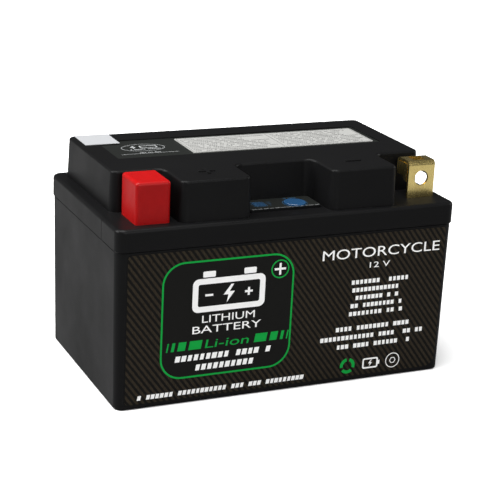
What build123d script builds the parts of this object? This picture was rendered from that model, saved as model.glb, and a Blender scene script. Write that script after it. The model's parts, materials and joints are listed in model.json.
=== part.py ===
"""Lithium motorcycle battery in the 150 x 87 x 93 mm case size, as an assembly of separate pieces.

Frame: millimetres, +Z up, origin at the centre of the case's underside, +X along the case's length,
-Y towards the labelled front. The positive terminal is at -X and the negative one at +X.
"""

from build123d import *
import math
import os

# ---------------------------------------------------------------- case
case_length = 150.0
case_width = 87.0
overall_height = 93.0
container_height = 66.5      # underside to the seam under the lid's rim
rim_height = 9.3             # seam to the shelf round the raised block
case_wall = 2.5
floor_thickness = 3.0
case_corner_radius = 3.6
container_draft = 0.6        # degrees, the container narrows downwards
rim_overhang = 0.3           # the rim stands this proud of the container at the seam
bottom_edge_radius = 1.2
seam_chamfer = 0.35
joint_depth = 3.5            # lap joint between container and lid
joint_clearance = 0.1
base_panel_inset = 9.0
base_panel_depth = 0.6

# ---------------------------------------------------------------- lid
lid_wall = 2.2
rim_edge_radius = 1.6
block_draft = 2.5            # degrees, the raised block narrows upwards
block_end_inset = 5.2        # all insets are measured at the shelf
block_back_inset = 3.8
block_front_inset = 2.7
block_corner_radius = 3.4
block_edge_radius = 1.1
bay_width = 26.8             # terminal bays at both front corners
bay_depth = 23.4
notch_width = 34.6           # indicator notch in the middle of the front
notch_depth = 22.2
mark_height = 0.4            # raised polarity marks
mark_size = 7.0
mark_stroke = 1.3
witness_groove = 0.35
witness_groove_from_front = 19.0

# ---------------------------------------------------------------- labels
label_thickness = 0.2
front_label_left_margin = 4.7
front_label_right_margin = 3.8
front_label_bottom_gap = 2.3
front_label_top_gap = 1.2
front_label_corner = 1.5
front_label_low_corner = 5.0 # the lower right one
top_label_end_inset = 14.6
top_label_front_y = -1.6
top_label_depth = 28.6
top_label_recess = 0.6
info_plate_left_offset = 34.0
info_plate_border = 2.4
info_plate_corner = 0.8
sticker_thickness = 0.15
sticker_width = 15.0
sticker_depth = 17.0
sticker_side_inset = 8.4
sticker_flap = 5.0

# ---------------------------------------------------------------- terminals and cap
terminal_width = 12.4        # an M6 nut fits between the wings
terminal_depth = 10.2
terminal_height = 15.8
terminal_sheet = 1.1
terminal_bend_radius = 2.0
terminal_hole_radius = 3.2   # clearance hole for an M6 bolt
terminal_hole_height = 8.4
terminal_slot_x = 5.4
terminal_slot_y = 5.6
rear_flange_height = 6.4
wing_gap = 0.4
wing_height_back = 5.6
wing_height_front = 7.6
wing_step = 3.6
negative_side_gap = 5.1      # case end to the terminal's outer side
positive_side_gap = 10.1
terminal_slot_clearance = 0.1
seal_margin = 1.0
seal_thickness = 2.2
cap_wall = 0.8
cap_clearance = 0.25
cap_wall_gap = 1.0           # cap to the bay's back wall
cap_bolt_room = 5.4          # inside the cap, in front of the terminal
cap_edge_radius = 1.5
cap_inner_radius = 0.5
cap_top_gap = 0.5

# ---------------------------------------------------------------- indicator and test button
plinth_rise = 1.0            # step in the notch's floor that the indicator overlay lies on
plinth_depth = 13.8
plinth_side_gap = 1.3
overlay_margin = 0.3
button_radius = 4.6
button_x = 6.2
button_from_plinth_front = 5.2
button_rise = 0.6
button_dome = 0.35
button_clearance = 0.2
button_travel = 0.5
button_flange_width = 1.0
button_flange_thickness = 0.7
window_x = -9.2
window_length = 5.0
window_depth = 5.2
window_corner = 0.9
window_flange = 0.8
window_rise = 0.1
indicator_board_thickness = 1.6
indicator_board_drop = 4.9   # lid's underside to the board's top
switch_size = 6.0
switch_height = 3.0
switch_stem_radius = 1.7
stem_bore_clearance = 0.1
led_size = (1.1, 1.6, 0.8)
led_pitch = 1.6
led_count = 3
light_guide_gap = 0.4
boss_radius = 2.4
board_screw_radius = 1.05
board_screw_clearance = 0.05
board_screw_head_radius = 2.1
board_screw_head = 1.4
board_screw_grip = 3.0
board_corner_radius = 1.5
ribbon_width = 8.0
ribbon_thickness = 0.5

# ---------------------------------------------------------------- cell pack
cells_along = 4
cells_across = 2
base_pad_thickness = 2.0
bus_thickness = 0.5
bus_corner_radius = 2.5
bus_window_radius = 1.5
holder_lip = 1.2
holder_lip_width = 3.4
holder_height = 9.0
holder_edge = 1.5
holder_corner_radius = 3.0
holder_web = 0.7             # plastic left between two neighbouring cells
cell_fit = 0.15
cell_sleeve_thickness = 0.13
cell_sleeve_gap = 0.02
cell_button_radius = 6.0
cell_button_height = 1.0
cell_groove_depth = 0.6
cell_groove_width = 1.6
cell_groove_from_top = 4.5
insulator_thickness = 0.3
pack_to_case = 1.2
pack_front_gap = 2.6         # bay wall to the pack's front
pack_top_gap = 0.4
rib_thickness = 1.6
rib_clearance = 0.3
rib_top_gap = 6.0
pad_clearance = 0.4
end_pad_top_gap = 4.5
end_pad_minimum = 3.0
pad_edge_radius = 2.0
front_pad_overlap = 6.0      # past the notch's sides
front_pad_top_gap = 2.0      # to the indicator board's screws
bus_pad_radius = 7.0
bus_strip_width = 18.0
sense_width = 5.0
sense_thickness = 0.3

# ---------------------------------------------------------------- leads, lugs and fasteners
lug_thickness = 1.0
lug_radius = 5.0
lug_barrel_radius = 2.9
lug_barrel_length = 8.0
lug_neck = 1.4
lug_drop = 9.6               # lid's underside to the bolted joint
flag_width = 11.0
flag_forward = 5.2           # pack front to the bus flag
lead_radius = 2.1
lead_straight = 6.0          # straight stretch below each lug before the bend
bolt_radius = 2.45
bolt_hole_clearance = 0.2
bolt_head_radius = 4.3
bolt_head_height = 3.0
nut_clearance = 0.05
nut_height = 4.0
nut_flat = 8.0
socket_flat = 3.5
socket_depth = 1.6

# ---------------------------------------------------------------- balance board
board_thickness = 1.6
board_standoff = 4.2
board_end_margin = 2.5       # outermost cells' centres to the board's ends
board_side_margin = 3.5      # cell rows' centres to the board's long edges
standoff_radius = 2.9
resistor_size = (6.4, 3.2, 0.9)
chip_size = (6.0, 5.0, 1.6)
connector_size = (10.0, 5.0, 4.5)

# ================================================================ places worked out from the sizes
half_length = case_length / 2
half_width = case_width / 2
seam_z = container_height
shelf_z = seam_z + rim_height
lid_top_z = overall_height - mark_height
shelf_under_z = shelf_z - lid_wall
block_height = lid_top_z - shelf_z
block_lean = math.tan(math.radians(block_draft))
container_lean = math.tan(math.radians(container_draft))

top_length = case_length - 2 * rim_overhang
top_width = case_width - 2 * rim_overhang
bottom_length = top_length - 2 * container_height * container_lean
bottom_width = top_width - 2 * container_height * container_lean

bay_wall_y = -half_width + bay_depth
notch_wall_y = -half_width + notch_depth
notch_half = notch_width / 2
bay_inner_x = half_length - bay_width

cap_back_y = bay_wall_y - cap_wall_gap
terminal_back_y = cap_back_y - cap_wall - cap_clearance
terminal_front_y = terminal_back_y - terminal_depth
terminal_top_z = shelf_z + terminal_height
positive_x = -(half_length - positive_side_gap - terminal_width / 2)
negative_x = half_length - negative_side_gap - terminal_width / 2

pack_floor_z = floor_thickness + base_pad_thickness
pack_back_y = bottom_width / 2 - case_wall - pack_to_case
pack_front_y = bay_wall_y + pack_front_gap
pack_centre_y = (pack_back_y + pack_front_y) / 2
pitch_by_depth = (pack_back_y - pack_front_y - 2 * holder_edge + holder_web) / cells_across
end_pad_room = 2 * pad_clearance + end_pad_minimum + holder_edge
pitch_by_length = (bottom_length - 2 * case_wall - 2 * end_pad_room + holder_web) / cells_along
cell_pitch = min(pitch_by_depth, pitch_by_length)
cell_bore_radius = (cell_pitch - holder_web) / 2
cell_radius = cell_bore_radius - cell_fit
holder_length = cells_along * cell_pitch - holder_web + 2 * holder_edge
holder_depth = cells_across * cell_pitch - holder_web + 2 * holder_edge
holder_front_y = pack_centre_y - holder_depth / 2
holder_back_y = pack_centre_y + holder_depth / 2
lower_holder_z = pack_floor_z + bus_thickness
cell_bottom_z = lower_holder_z + holder_lip
upper_bus_z = shelf_under_z - pack_top_gap - bus_thickness
cell_top_z = upper_bus_z - holder_lip
cell_length = cell_top_z - cell_bottom_z

board_z = upper_bus_z + board_standoff
screw_hole_radius = board_screw_radius + board_screw_clearance
bolt_hole_radius = bolt_radius + bolt_hole_clearance
lug_z = shelf_under_z - lug_drop
flag_front_y = holder_front_y - flag_forward
group_x = [cell_pitch * (i - (cells_along - 1) / 2) for i in range(cells_along)]
row_y = [pack_centre_y + cell_pitch * (j - (cells_across - 1) / 2) for j in range(cells_across)]
board_length = group_x[-1] - group_x[0] + 2 * board_end_margin
board_depth = row_y[-1] - row_y[0] + 2 * board_side_margin

plinth_front_y = notch_wall_y - plinth_depth
plinth_half = notch_half - plinth_side_gap
plinth_z = shelf_z + plinth_rise
button_y = plinth_front_y + button_from_plinth_front
window_y = plinth_front_y + plinth_depth / 2
overlay_top_z = plinth_z + label_thickness
indicator_board_top_z = shelf_under_z - indicator_board_drop
boss_y = plinth_front_y + boss_radius


# ================================================================ shared shapes
def block(x0, x1, y0, y1, z0, z1):
    """A plain box between two corners."""
    centre = ((x0 + x1) / 2, (y0 + y1) / 2, (z0 + z1) / 2)
    return Pos(*centre) * Box(abs(x1 - x0), abs(y1 - y0), abs(z1 - z0))


def post(x, y, z0, z1, radius):
    """A round post along Z."""
    return Pos(x, y, (z0 + z1) / 2) * Cylinder(radius, z1 - z0)


def peg_y(x, z, y0, y1, radius):
    """A round peg along Y."""
    return Pos(x, (y0 + y1) / 2, z) * Rot(90, 0, 0) * Cylinder(radius, abs(y1 - y0))


def slab(length, width, radius, z0, z1, taper=0.0):
    """A rounded plate whose outline is given at z0; a negative taper widens it upwards."""
    outline = Pos(0, 0, z0) * RectangleRounded(length, width, radius)
    return extrude(outline, amount=z1 - z0, taper=taper)


def save(name, shape):
    """Writes one node."""
    export_step(shape, f"parts/{name}.step")


# ================================================================ case pieces
def make_container():
    outer = slab(bottom_length, bottom_width, case_corner_radius, 0, container_height, -container_draft)
    low_edges = outer.edges().group_by(Axis.Z)[0]
    outer = fillet(low_edges, bottom_edge_radius)
    outer = chamfer(outer.edges().group_by(Axis.Z)[-1], seam_chamfer)
    rise = floor_thickness * container_lean
    inner_radius = max(case_corner_radius - case_wall, 0.6)
    inner = slab(
        bottom_length - 2 * case_wall + 2 * rise,
        bottom_width - 2 * case_wall + 2 * rise,
        inner_radius,
        floor_thickness,
        container_height,
        -container_draft,
    )
    rebate = slab(
        top_length - case_wall,
        top_width - case_wall,
        case_corner_radius - case_wall / 2,
        container_height - joint_depth,
        container_height,
    )
    panel = slab(
        bottom_length - 2 * base_panel_inset,
        bottom_width - 2 * base_panel_inset,
        case_corner_radius,
        0,
        base_panel_depth,
    )
    shell = outer - inner - rebate - panel
    for x in group_x:
        shell += rib_at(x) & outer
    return shell


def rib_at(x):
    """One upright rib on the back wall that keeps the pack off it."""
    return block(
        x - rib_thickness / 2,
        x + rib_thickness / 2,
        holder_back_y + rib_clearance,
        bottom_width / 2 - case_wall / 2,
        floor_thickness - base_panel_depth,
        container_height - joint_depth - rib_top_gap,
    )


def block_outline(inset):
    """Plan of the lid's raised block with its bays and notch, moved inwards by inset."""
    end_x = half_length - block_end_inset - inset
    back_y = half_width - block_back_inset - inset
    front_y = -half_width + block_front_inset + inset
    wall_y = bay_wall_y + inset
    notch_y = notch_wall_y + inset
    outer_x = bay_inner_x - inset
    inner_x = notch_half + inset
    right = [
        (inner_x, notch_y),
        (inner_x, front_y),
        (outer_x, front_y),
        (outer_x, wall_y),
        (end_x, wall_y),
        (end_x, back_y),
    ]
    left = [(-x, y) for x, y in reversed(right)]
    plan = make_face(Polyline(*right, *left, close=True))
    return fillet(plan.vertices(), max(block_corner_radius - inset, 0.8))


def make_lid():
    rim = slab(case_length, case_width, case_corner_radius + rim_overhang, seam_z, shelf_z)
    rim = chamfer(rim.edges().group_by(Axis.Z)[0], seam_chamfer)
    rim = fillet(rim.edges().group_by(Axis.Z)[-1], rim_edge_radius)
    raised = extrude(Pos(0, 0, shelf_z) * block_outline(0), amount=block_height, taper=block_draft)
    raised = fillet(raised.edges().group_by(Axis.Z)[-1], block_edge_radius)
    tongue_length = top_length - case_wall - 2 * joint_clearance
    tongue_width = top_width - case_wall - 2 * joint_clearance
    tongue_radius = case_corner_radius - case_wall / 2 - joint_clearance
    tongue_low = seam_z - joint_depth + joint_clearance
    tongue = slab(tongue_length, tongue_width, tongue_radius, tongue_low, shelf_under_z)
    inner_length = top_length - 2 * case_wall
    inner_width = top_width - 2 * case_wall
    inner_radius = max(case_corner_radius - case_wall, 0.6)
    rim_room = slab(inner_length, inner_width, inner_radius, seam_z - joint_depth, shelf_under_z)
    block_room = extrude(
        Pos(0, 0, shelf_under_z) * block_outline(lid_wall), amount=block_height, taper=block_draft
    )
    lid = rim + raised + tongue - rim_room - block_room
    lid += indicator_plinth()
    lid -= top_label_pocket()
    lid -= witness_grooves()
    lid += polarity_marks()
    for x in (positive_x, negative_x):
        lid -= leg_slot(x)
    lid -= post(button_x, button_y, shelf_under_z, plinth_z, button_radius + button_clearance)
    lid -= window_block(joint_clearance, shelf_under_z, plinth_z)
    for x in boss_places():
        boss = post(x, boss_y, indicator_board_top_z, shelf_z - lid_wall / 2, boss_radius)
        pilot = post(x, boss_y, indicator_board_top_z, shelf_under_z, screw_hole_radius)
        lid += boss - pilot
    return lid


def top_label_pocket():
    """Shallow pocket in the lid's top that the top label lies in."""
    length = case_length - 2 * top_label_end_inset
    centre_y = top_label_front_y + top_label_depth / 2
    sketch = Pos(0, centre_y, lid_top_z - top_label_recess) * RectangleRounded(length, top_label_depth, 1.0)
    return extrude(sketch, amount=top_label_recess)


def indicator_plinth():
    """Step in the notch's floor under the indicator overlay."""
    back = notch_wall_y + lid_wall / 2
    plinth = block(-plinth_half, plinth_half, plinth_front_y, back, shelf_under_z, plinth_z)
    upright = plinth.edges().filter_by(Axis.Z).group_by(Axis.Y)[0]
    return fillet(upright, 1.2)


def window_block(growth, z0, z1):
    """The indicator window's outline, grown by a clearance or a flange, between two heights."""
    outline = RectangleRounded(window_length + 2 * growth, window_depth + 2 * growth, window_corner + growth)
    return extrude(Pos(window_x, window_y, z0) * outline, amount=z1 - z0)


def witness_grooves():
    """Fine upright mould line on each end of the rim."""
    y = -half_width + witness_groove_from_front
    half = witness_groove / 2
    right = block(half_length - witness_groove, half_length, y - half, y + half, seam_z, shelf_z)
    return right + mirror(right, about=Plane.YZ)


def polarity_marks():
    """Raised plus and minus beside their terminals."""
    y = bay_wall_y - bay_depth / 2 + block_front_inset + 1.0
    plus_x = -(bay_inner_x + notch_half) / 2
    low = lid_top_z - mark_height
    half = mark_size / 2
    stroke = mark_stroke / 2
    plus = block(plus_x - half, plus_x + half, y - stroke, y + stroke, low, overall_height)
    plus += block(plus_x - stroke, plus_x + stroke, y - half, y + half, low, overall_height)
    minus = block(-plus_x - half, -plus_x + half, y - stroke, y + stroke, low, overall_height)
    return plus + minus


def leg_slot(x):
    """Slot in the shelf that a terminal's leg passes through."""
    half = terminal_width / 2 + terminal_slot_clearance
    front = terminal_front_y - terminal_slot_clearance
    back = terminal_front_y + terminal_sheet + terminal_slot_clearance
    return block(x - half, x + half, front, back, shelf_under_z, shelf_z)


def boss_places():
    reach = notch_half - boss_radius
    return [-reach, reach]


# ================================================================ labels
def make_front_label():
    """The wrap label on the container's leaning front face."""
    low = front_label_bottom_gap
    high = container_height - front_label_top_gap
    left = -half_length + front_label_left_margin
    right = half_length - front_label_right_margin
    middle_z = (low + high) / 2
    face_y = -(bottom_width / 2 + middle_z * container_lean)
    lean = math.radians(container_draft)
    plane = Plane(
        origin=((left + right) / 2, face_y, middle_z),
        x_dir=(1, 0, 0),
        z_dir=(0, -math.cos(lean), -math.sin(lean)),
    )
    outline = Rectangle(right - left, (high - low) / math.cos(lean))
    low_right = outline.vertices().group_by(Axis.Y)[0].sort_by(Axis.X)[-1]
    others = [v for v in outline.vertices() if v != low_right]
    outline = fillet(others, front_label_corner)
    outline = fillet(outline.vertices().group_by(Axis.Y)[0].sort_by(Axis.X)[-1], front_label_low_corner)
    return extrude(plane * outline, amount=label_thickness)


def make_top_label():
    length = case_length - 2 * top_label_end_inset - 2 * joint_clearance
    depth = top_label_depth - 2 * joint_clearance
    centre_y = top_label_front_y + top_label_depth / 2
    sketch = Pos(0, centre_y, lid_top_z - top_label_recess) * RectangleRounded(length, depth, 0.9)
    return extrude(sketch, amount=label_thickness)


def make_info_plate():
    left = -half_length + top_label_end_inset + info_plate_left_offset
    right = half_length - top_label_end_inset - info_plate_border
    front = top_label_front_y + info_plate_border
    back = top_label_front_y + top_label_depth - info_plate_border
    low = lid_top_z - top_label_recess + label_thickness
    outline = RectangleRounded(right - left, back - front, info_plate_corner)
    return extrude(Pos((left + right) / 2, (front + back) / 2, low) * outline, amount=label_thickness)


def make_corner_sticker():
    """White sticker at the back left corner, folded over the block's back edge."""
    back = half_width - block_back_inset
    top_back = back - block_height * block_lean
    section = make_face(
        Polyline((0, shelf_z), (back, shelf_z), (top_back, lid_top_z), (0, lid_top_z), close=True)
    )
    corner = section.vertices().sort_by(Axis.Y).group_by(Axis.Y)[-1].sort_by(Axis.X)[-1]
    section = fillet(corner, block_edge_radius)
    grown = offset(section, amount=sticker_thickness, kind=Kind.INTERSECTION)
    front = top_back - sticker_depth
    window = Pos((front + back + 2) / 2, lid_top_z) * Rectangle(back + 2 - front, 2 * sticker_flap)
    profile = (grown - section) & window
    left = -half_length + sticker_side_inset
    side = Plane(origin=(left, 0, 0), x_dir=(0, 1, 0), z_dir=(1, 0, 0))
    return extrude(side * profile, amount=sticker_width)


def make_indicator_overlay():
    """Printed overlay on the plinth, cut out for the button and the window."""
    back = notch_wall_y - overlay_margin
    front = plinth_front_y + overlay_margin
    outline = RectangleRounded(2 * (plinth_half - overlay_margin), back - front, 0.9)
    overlay = extrude(Pos(0, (front + back) / 2, plinth_z) * outline, amount=label_thickness)
    overlay -= post(button_x, button_y, plinth_z, overlay_top_z, button_radius + button_clearance)
    return overlay - window_block(joint_clearance, plinth_z, overlay_top_z)


# ================================================================ terminals and cap
def make_terminal(centre_x):
    """Bent brass strip: front plate with its leg, top plate, short rear flange and two side wings."""
    half = terminal_width / 2
    back = terminal_back_y
    front = terminal_front_y
    leg_z = lug_z - lug_radius - 1.0
    flange_z = terminal_top_z - rear_flange_height
    outer = upright_face(front, back, leg_z, terminal_top_z)
    outer = fillet(outer.vertices().group_by(Axis.Y)[-1], terminal_bend_radius)
    inner_front = front + terminal_sheet
    inner_back = back - terminal_sheet
    inner_top = terminal_top_z - terminal_sheet
    inner = upright_face(inner_front, inner_back, leg_z, inner_top)
    inner = fillet(inner.vertices().group_by(Axis.Y)[-1], terminal_bend_radius - terminal_sheet)
    below_flange = upright_face(inner_front, back + 1, leg_z, flange_z)
    side = Plane(origin=(centre_x - half, 0, 0), x_dir=(0, 1, 0), z_dir=(1, 0, 0))
    strip = extrude(side * (outer - inner - below_flange), amount=terminal_width)
    for x in (centre_x - half, centre_x + half - terminal_sheet):
        strip += make_wing(x)
    hole_z = shelf_z + terminal_hole_height
    strip -= peg_y(centre_x, hole_z, front - 1, inner_front + 0.5, terminal_hole_radius)
    middle_y = (front + back) / 2
    strip -= block(
        centre_x - terminal_slot_x / 2,
        centre_x + terminal_slot_x / 2,
        middle_y - terminal_slot_y / 2,
        middle_y + terminal_slot_y / 2,
        inner_top - 0.5,
        terminal_top_z + 0.5,
    )
    strip -= peg_y(centre_x, lug_z, front - 1, inner_front + 1, bolt_hole_radius)
    return strip


def upright_face(y0, y1, z0, z1):
    """Rectangle in the YZ section sketch."""
    return Pos((y0 + y1) / 2, (z0 + z1) / 2) * Rectangle(y1 - y0, z1 - z0)


def make_wing(x):
    """Side wing folded forward from the rear flange, with a stepped lower edge."""
    top = terminal_top_z - terminal_sheet - wing_gap
    front = terminal_front_y + terminal_sheet + wing_gap
    back = terminal_back_y - 0.3
    step_y = front + wing_step
    outline = make_face(
        Polyline(
            (front, top),
            (front, top - wing_height_front),
            (front + wing_step / 2, top - wing_height_front),
            (step_y, top - wing_height_back),
            (back, top - wing_height_back),
            (back, top),
            close=True,
        )
    )
    side = Plane(origin=(x, 0, 0), x_dir=(0, 1, 0), z_dir=(1, 0, 0))
    return extrude(side * outline, amount=terminal_sheet)


def make_terminal_seals():
    """Potting under the shelf round each terminal's leg."""
    seals = []
    half = terminal_width / 2 + seal_margin
    lid_inside = top_length / 2 - case_wall - joint_clearance
    for x in (positive_x, negative_x):
        seal = block(
            max(x - half, -lid_inside),
            min(x + half, lid_inside),
            terminal_front_y - seal_margin,
            terminal_front_y + terminal_sheet + seal_margin,
            shelf_under_z - seal_thickness,
            shelf_under_z,
        )
        leg = block(
            x - terminal_width / 2,
            x + terminal_width / 2,
            terminal_front_y,
            terminal_front_y + terminal_sheet,
            shelf_under_z - seal_thickness,
            shelf_under_z,
        )
        seals.append(seal - leg)
    return Compound(children=seals)


def make_positive_cap():
    """Soft red cover, open underneath, with room for a bolt head in front of the terminal."""
    half = terminal_width / 2 + cap_clearance + cap_wall
    front = terminal_front_y - cap_bolt_room - cap_wall
    top = terminal_top_z + cap_top_gap + cap_wall
    outer = block(positive_x - half, positive_x + half, front, cap_back_y, shelf_z, top)
    edges = outer.edges().filter_by(Axis.Z) + outer.edges().group_by(Axis.Z)[-1]
    outer = fillet(edges, cap_edge_radius)
    inner = block(
        positive_x - half + cap_wall,
        positive_x + half - cap_wall,
        front + cap_wall,
        cap_back_y - cap_wall,
        shelf_z - 1,
        top - cap_wall,
    )
    inner = fillet(inner.edges().filter_by(Axis.Z), cap_inner_radius)
    return outer - inner


# ================================================================ indicator
def make_test_button():
    """Round button with a domed edge and a flange that holds it under the shelf."""
    flange_top = shelf_under_z - joint_clearance
    stem = post(button_x, button_y, flange_top, overlay_top_z + button_rise, button_radius)
    stem = fillet(stem.edges().group_by(Axis.Z)[-1], button_dome)
    flange_radius = button_radius + button_flange_width
    return stem + post(button_x, button_y, flange_top - button_flange_thickness, flange_top, flange_radius)


def make_switch_stem():
    top = shelf_under_z - joint_clearance - button_flange_thickness
    bottom = indicator_board_top_z + switch_height - button_travel
    return post(button_x, button_y, bottom, top, switch_stem_radius)


def make_test_switch():
    low = indicator_board_top_z
    top = low + switch_height
    body = Pos(button_x, button_y, (low + top) / 2) * Box(switch_size, switch_size, switch_height)
    well_bottom = top - 2 * button_travel - stem_bore_clearance
    return body - post(button_x, button_y, well_bottom, top, switch_stem_radius + stem_bore_clearance)


def make_indicator_window():
    """Tinted light guide: a window flush with the overlay, on a flange, reaching down to the LEDs."""
    low = indicator_board_top_z + led_size[2] + light_guide_gap
    window = window_block(0, low, overlay_top_z + window_rise)
    return window + window_block(window_flange, shelf_under_z - window_flange, shelf_under_z)


def make_indicator_leds():
    leds = []
    low = indicator_board_top_z
    for i in range(led_count):
        x = window_x + led_pitch * (i - (led_count - 1) / 2)
        half_x = led_size[0] / 2
        half_y = led_size[1] / 2
        led = block(x - half_x, x + half_x, window_y - half_y, window_y + half_y, low, low + led_size[2])
        leds.append(chamfer(led.edges().group_by(Axis.Z)[-1], 0.15))
    return Compound(children=leds)


def make_indicator_board():
    half = notch_half + 0.4
    low = indicator_board_top_z - indicator_board_thickness
    back = holder_front_y - 2.4
    board = block(-half, half, boss_y - boss_radius, back, low, indicator_board_top_z)
    for x in boss_places():
        board -= post(x, boss_y, low, indicator_board_top_z, screw_hole_radius)
    return board


def screw_up(x, y, seat_z, grip):
    """Small pan head screw whose head bears upwards on seat_z."""
    head = post(x, y, seat_z - board_screw_head, seat_z, board_screw_head_radius)
    head = fillet(head.edges().group_by(Axis.Z)[0], board_screw_head * 0.4)
    recess = Pos(x, y, seat_z - board_screw_head) * cross_recess(board_screw_head_radius)
    return head + post(x, y, seat_z, seat_z + grip, board_screw_radius) - recess


def cross_recess(head_radius):
    """Cross-shaped driver recess centred on the origin."""
    reach = head_radius * 1.2
    slot = head_radius * 0.28
    return Box(reach, slot, head_radius * 0.6) + Box(slot, reach, head_radius * 0.6)


def make_indicator_screws():
    seat = indicator_board_top_z - indicator_board_thickness
    return Compound(children=[screw_up(x, boss_y, seat, board_screw_grip) for x in boss_places()])


def make_indicator_ribbon():
    """Flat cable from the indicator board up to the connector on the balance board."""
    half = ribbon_thickness / 2
    start_y = holder_front_y - 4.4
    rise_y = holder_front_y - 2 * half
    end_y = pack_centre_y - board_depth / 2 + connector_size[1] / 2
    low_z = indicator_board_top_z + half
    high_z = board_z + board_thickness + connector_size[2] + half
    path = FilletPolyline((start_y, low_z), (rise_y, low_z), (rise_y, high_z), (end_y, high_z), radius=1.2)
    strip = make_face(offset(path, amount=half, side=Side.BOTH, kind=Kind.ARC))
    ends = Rectangle(end_y - start_y, high_z - low_z + ribbon_thickness)
    strip &= Pos((start_y + end_y) / 2, (low_z + high_z) / 2) * ends
    side = Plane(origin=(-ribbon_width / 2, 0, 0), x_dir=(0, 1, 0), z_dir=(1, 0, 0))
    return extrude(side * strip, amount=ribbon_width)


# ================================================================ cell pack
def cell_places():
    """Centre, and whether the positive end points up, of each cell in turn."""
    return [(x, y, i % 2 == 0) for i, x in enumerate(group_x) for y in row_y]


def make_cell(x, y, positive_up):
    """Steel can with a rolled groove and a raised positive button."""
    shoulder = cell_length - cell_button_height
    can_radius = cell_radius - cell_sleeve_thickness - cell_sleeve_gap
    can = Pos(0, 0, shoulder / 2) * Cylinder(can_radius, shoulder)
    can = fillet(can.edges().group_by(Axis.Z)[-1] + can.edges().group_by(Axis.Z)[0], 0.8)
    groove_z = shoulder - cell_groove_from_top
    ring = Cylinder(can_radius + 1, cell_groove_width)
    ring -= Cylinder(can_radius - cell_groove_depth, cell_groove_width)
    can -= Pos(0, 0, groove_z) * ring
    can += Pos(0, 0, shoulder + cell_button_height / 2) * Cylinder(cell_button_radius, cell_button_height)
    return stand_cell(can, x, y, positive_up)


def make_cell_sleeve(x, y, positive_up):
    """Shrink sleeve round the can."""
    inner_radius = cell_radius - cell_sleeve_thickness
    shoulder = cell_length - cell_button_height
    tube = Cylinder(cell_radius, shoulder - 2) - Cylinder(inner_radius, shoulder - 2)
    return stand_cell(Pos(0, 0, shoulder / 2) * tube, x, y, positive_up)


def make_cell_insulators():
    """Paper rings on the positive shoulders."""
    shoulder = cell_length - cell_button_height
    outer = cell_radius - cell_sleeve_thickness - 1.2
    rings = []
    for x, y, positive_up in cell_places():
        ring = Cylinder(outer, insulator_thickness) - Cylinder(cell_button_radius + 0.2, insulator_thickness)
        rings.append(stand_cell(Pos(0, 0, shoulder + insulator_thickness / 2) * ring, x, y, positive_up))
    return Compound(children=rings)


def stand_cell(shape, x, y, positive_up):
    """Puts a shape drawn positive end up, from z = 0, at a cell's place."""
    if positive_up:
        return Pos(x, y, cell_bottom_z) * shape
    return Pos(x, y, cell_top_z) * Rot(180, 0, 0) * shape


def holder_plate(z0, z1, lip_z0, lip_z1):
    """Plate bored for the cells from z0 to z1, with a retaining lip beyond the bores."""
    low = min(z0, lip_z0)
    high = max(z1, lip_z1)
    plate = Pos(0, pack_centre_y, 0) * slab(holder_length, holder_depth, holder_corner_radius, low, high)
    for x in group_x:
        for y in row_y:
            plate -= post(x, y, z0, z1, cell_bore_radius)
            plate -= post(x, y, lip_z0, lip_z1, cell_bore_radius - holder_lip_width)
    return plate


def make_lower_holder():
    return holder_plate(cell_bottom_z, lower_holder_z + holder_height, lower_holder_z, cell_bottom_z)


def make_upper_holder():
    """Top plate, with two posts for the balance board."""
    top = cell_top_z + holder_lip
    plate = holder_plate(top - holder_height, cell_top_z, cell_top_z, top)
    for x in standoff_places():
        plate += post(x, pack_centre_y, cell_top_z, board_z, standoff_radius)
        plate -= post(x, pack_centre_y, cell_top_z, board_z, screw_hole_radius)
    return plate


def standoff_places():
    return [(group_x[0] + group_x[1]) / 2, (group_x[-2] + group_x[-1]) / 2]


def weld_pads(xs, top_side):
    """Round pads of a bus plate that reach through the holder's lip to the cells' ends."""
    low, high = (cell_top_z, upper_bus_z) if top_side else (lower_holder_z, cell_bottom_z)
    return [post(x, y, low, high, bus_pad_radius) for x in xs for y in row_y]


def bus_plate(xs, top_side):
    """Flat plate with its pads over every cell of the named groups."""
    low = upper_bus_z if top_side else pack_floor_z
    half_y = (row_y[-1] - row_y[0] + bus_strip_width) / 2
    length = xs[-1] - xs[0] + bus_strip_width
    high = low + bus_thickness
    middle = Pos((xs[0] + xs[-1]) / 2, pack_centre_y, 0)
    plate = middle * slab(length, 2 * half_y, bus_corner_radius, low, high)
    for pad in weld_pads(xs, top_side):
        plate += pad
    if len(xs) > 1:
        opening_length = cell_pitch - bus_strip_width
        opening_depth = cell_pitch - bus_strip_width / 2
        plate -= middle * slab(opening_length, opening_depth, bus_window_radius, low, high)
    return plate


def sense_tab_up(x, y):
    """Short tab from a top plate up to the balance board."""
    half = sense_width / 2
    return block(x - half, x + half, y, y + sense_thickness, upper_bus_z, board_z)


def make_end_bus(x):
    """Bus plate of an end group, with a flag folded down in front of the pack for its lead."""
    plate = bus_plate([x], True)
    half = flag_width / 2
    flag_low = lug_z - lug_radius - 1.0
    top = upper_bus_z + bus_thickness
    plate += block(x - half, x + half, flag_front_y, row_y[0], upper_bus_z, top)
    plate += block(x - half, x + half, flag_front_y, flag_front_y + bus_thickness, flag_low, top)
    plate -= peg_y(x, lug_z, flag_front_y - 1, flag_front_y + bus_thickness + 1, bolt_hole_radius)
    return plate + sense_tab_up(x, pack_centre_y)


def make_top_link():
    middle = len(group_x) // 2
    xs = group_x[middle - 1 : middle + 1]
    return bus_plate(xs, True) + sense_tab_up(xs[0], pack_centre_y)


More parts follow.
